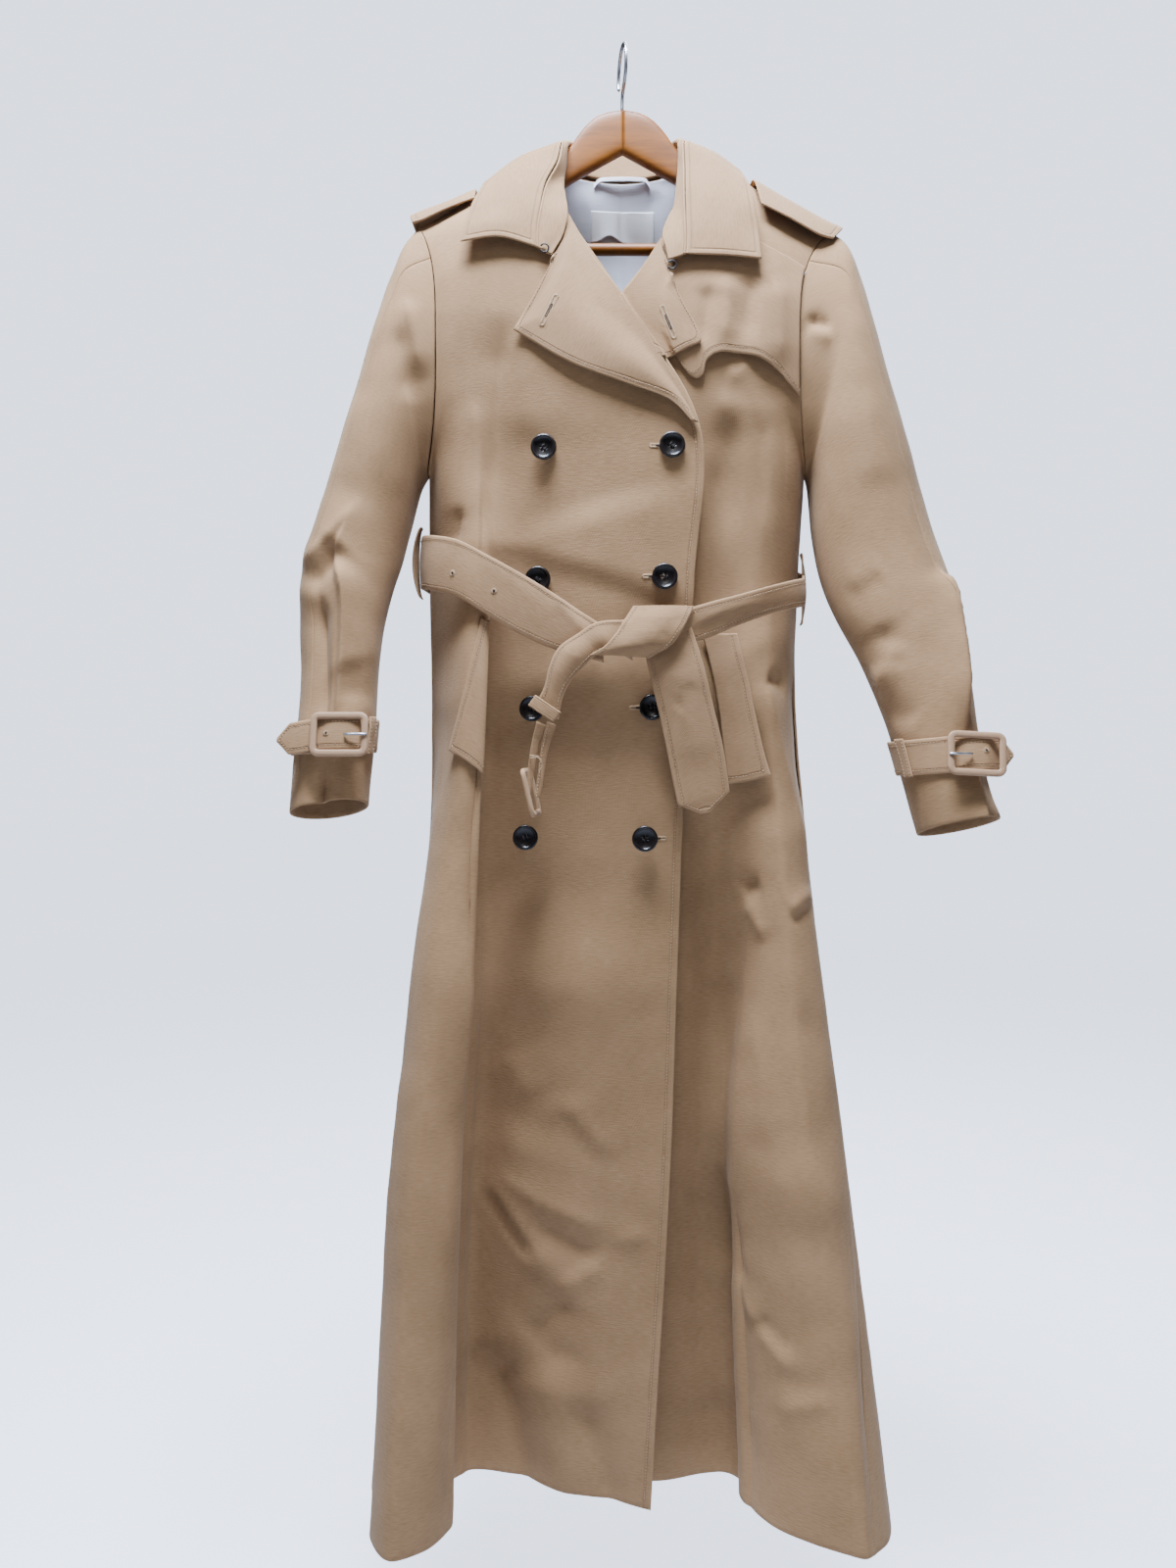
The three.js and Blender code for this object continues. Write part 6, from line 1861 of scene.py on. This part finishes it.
# Half the width of a slit with its whipped edge: on the front, on lapels and belt, on cuff straps.
SLIT, LAPEL_SLIT, CUFF_SLIT = 1.3, 1.9, 1.7
SLIT_STARTS, SLIT_ENDS = 2, 20  # from the button's middle
holes = []
# Which button, the slit's height, and which way it runs from the button.
for i, z, way in ((1, -424, -1), (2, -550, -1), (3, -676, -1), (4, -803, 1)):
    low, high = (np.array(corner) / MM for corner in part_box(f"button_{i}_inner"))
    x = (low[0] + high[0]) / 2
    ends = sorted((x + way * SLIT_STARTS, x + way * SLIT_ENDS))
    holes.append(slit(grids["front_right"], (ends[0], z), (ends[1], z), SLIT))
holes.append(slit(grids["lapel_right"], (-66, -282), (-79, -308), LAPEL_SLIT))
holes.append(slit(grids["lapel_left"], (37, -289), (48, -318), LAPEL_SLIT))
eyelets = [
    slit(grids["belt_right"], (-166, -546.2), (-166, -545.8), LAPEL_SLIT),
    slit(grids["belt_right"], (-125.2, -565), (-124.8, -565), LAPEL_SLIT),
    slit(grids["cuff_tip_right"], (-277.2, -703), (-276.8, -703), CUFF_SLIT),
    slit(grids["cuff_tip_left"], (331.8, -719), (332.2, -719), CUFF_SLIT),
]
whip = stitched(
    "buttonhole_stitches", holes + eyelets, THREAD, Pitch=0.0007, Length=0.0024, Thickness=0.0007, Across=1.0
)
extras.append((whip, [], "gabardine"))
# Painted shade: a dark ring in each buttonhole and eyelet stands for the shade inside the slit.
gaps = []
for loop in holes + eyelets:
    centre = np.mean(loop[:-1], 0)
    ring = [centre + 0.42 * (np.array(p) - centre) - [0, 0.12, 0] for p in loop[:-1]]
    gaps.append(tube(ring, 0.55, 6, True))
extras.append((make_mesh("buttonhole_gaps", *joined(gaps), SLIT_SHADE), [], "gabardine"))


# ---------- every piece joins the coat's one body ----------
def cut_size(grid):
    """Width, length and area that a sheet was cut to, in metres, before it was shaped."""
    width, length = runs(grid, 1)[:, -1].max() * MM, runs(grid, 0)[-1].max() * MM
    cells = np.cross(grid[1:, 1:] - grid[:-1, :-1], grid[1:, :-1] - grid[:-1, 1:])
    area = np.linalg.norm(cells, axis=-1).sum() / 2 * MM * MM
    return (float(width), float(length)), float(min(area, width * length))


def join_coat(piece, nodes):
    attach(piece, "root")
    if nodes:
        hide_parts(*nodes)


# Narrow bands sewn to a sheet.
BANDS = {"neck_lining": ["hanger_loop"], "belt_thin_strap": ["belt_thin_strap_behind"]}


def declare_cloth(name):
    flat, area = cut_size(grids[name])


HANGS = ["front_right", "front_left", "back"]
HANGS += [f"sleeve_{side}_{half}" for side in ("right", "left") for half in ("upper", "under")]
for name, piece in pieces.items():
    join_coat(piece, [] if name == "belt_thin_strap_behind" else [name])
    if name not in sum(BANDS.values(), []):
        declare_cloth(name)
for piece, nodes, slot in extras:
    join_coat(piece, nodes)


# ---------- floor, light and sky ----------
def area_light(name, place, aim, size, power, tint):
    lamp = bpy.data.lights.new(name, "AREA")
    lamp.shape = "RECTANGLE"
    lamp.size, lamp.size_y = size
    lamp.energy = power
    lamp.color = colour(tint)[:3]
    light = bpy.data.objects.new(name, lamp)
    light.location = place
    light.rotation_euler = (Vector(aim) - Vector(place)).to_track_quat("-Z", "Y").to_euler()
    light.visible_camera = False
    bpy.context.collection.objects.link(light)
    return light


area_light("ceiling_light", (-0.16, -0.5, 1.05), (0.02, -0.06, -0.4), (0.85, 0.45), 180, "dfeaff")
area_light("window", (-2.4, -1.2, 0.0), (0, 0, -0.8), (0.9, 1.4), 6, "f0f0ff")
area_light("far_window", (2.5, -0.9, 0.4), (0, 0, -0.5), (0.9, 1.4), 5, "dfe7ff")
area_light("behind", (0.7, 1.5, 1.3), (0, 0, -0.6), (1.2, 0.8), 75, "eef2ff")
area_light("doorway", (0.1, -2.2, 0.9), (0, 0, -0.7), (0.6, 0.9), 7, "f4f2f0")

# The room's white walls: bright to look at, but with the light of one weak sky.
WALL = "d2dbed"
SKY_LIGHT = 0.07
WALL_SHINE = 2.9
sky = bpy.data.worlds.new("sky")
bpy.context.scene.world = sky
sky.use_nodes = True
sky.node_tree.nodes.clear()
seen = add_node(sky.node_tree, "ShaderNodeLightPath")
shine = add_node(
    sky.node_tree,
    "ShaderNodeMapRange",
    {"Value": out(seen, "Is Camera Ray"), "To Min": SKY_LIGHT, "To Max": WALL_SHINE},
)
pale = add_node(sky.node_tree, "ShaderNodeBackground", {"Color": colour(WALL), "Strength": out(shine)})
add_node(sky.node_tree, "ShaderNodeOutputWorld", {"Surface": out(pale)})

# Painted floor, pale and matt; it shines as the walls do, so that no horizon cuts the view.
plaster, tree = new_material("painted_floor")
place = out(add_node(tree, "ShaderNodeTexCoord"), 3)
grit = add_node(tree, "ShaderNodeTexNoise", {"Vector": place, "Scale": 14.0})
paint = add_node(
    tree,
    "ShaderNodeMix",
    {"Factor_Float": out(grit), "A_Color": colour("d6dbe4"), "B_Color": colour("dde1e9")},
    data_type="RGBA",
)
from_coat = add_node(tree, "ShaderNodeVectorMath", {"Vector": place}, operation="LENGTH")
far_shine = add_node(
    tree,
    "ShaderNodeMapRange",
    {"Value": out(from_coat, "Value"), "From Min": 1.5, "From Max": 7.0, "To Min": 2.35, "To Max": 2.8},
)
seen = add_node(tree, "ShaderNodeLightPath")
shine = add_node(
    tree,
    "ShaderNodeMath",
    {"Value": out(seen, "Is Camera Ray"), "Value_001": out(far_shine)},
    operation="MULTIPLY",
)
coat_of_paint = add_node(
    tree,
    "ShaderNodeBsdfPrincipled",
    {
        "Base Color": out(paint, "Result_Color"),
        "Roughness": 0.9,
        "Emission Color": colour(WALL),
        "Emission Strength": out(shine),
    },
)
finished(tree, coat_of_paint)
FLOOR_LEVEL, FLOOR_REACH, FLOOR_CORNERS = -1640, 30000, 64
ring = [
    [FLOOR_REACH * math.cos(a), FLOOR_REACH * math.sin(a), FLOOR_LEVEL]
    for a in np.linspace(0, 2 * math.pi, FLOOR_CORNERS, endpoint=False)
]
floor = make_mesh("floor", ring, [range(FLOOR_CORNERS)], plaster)
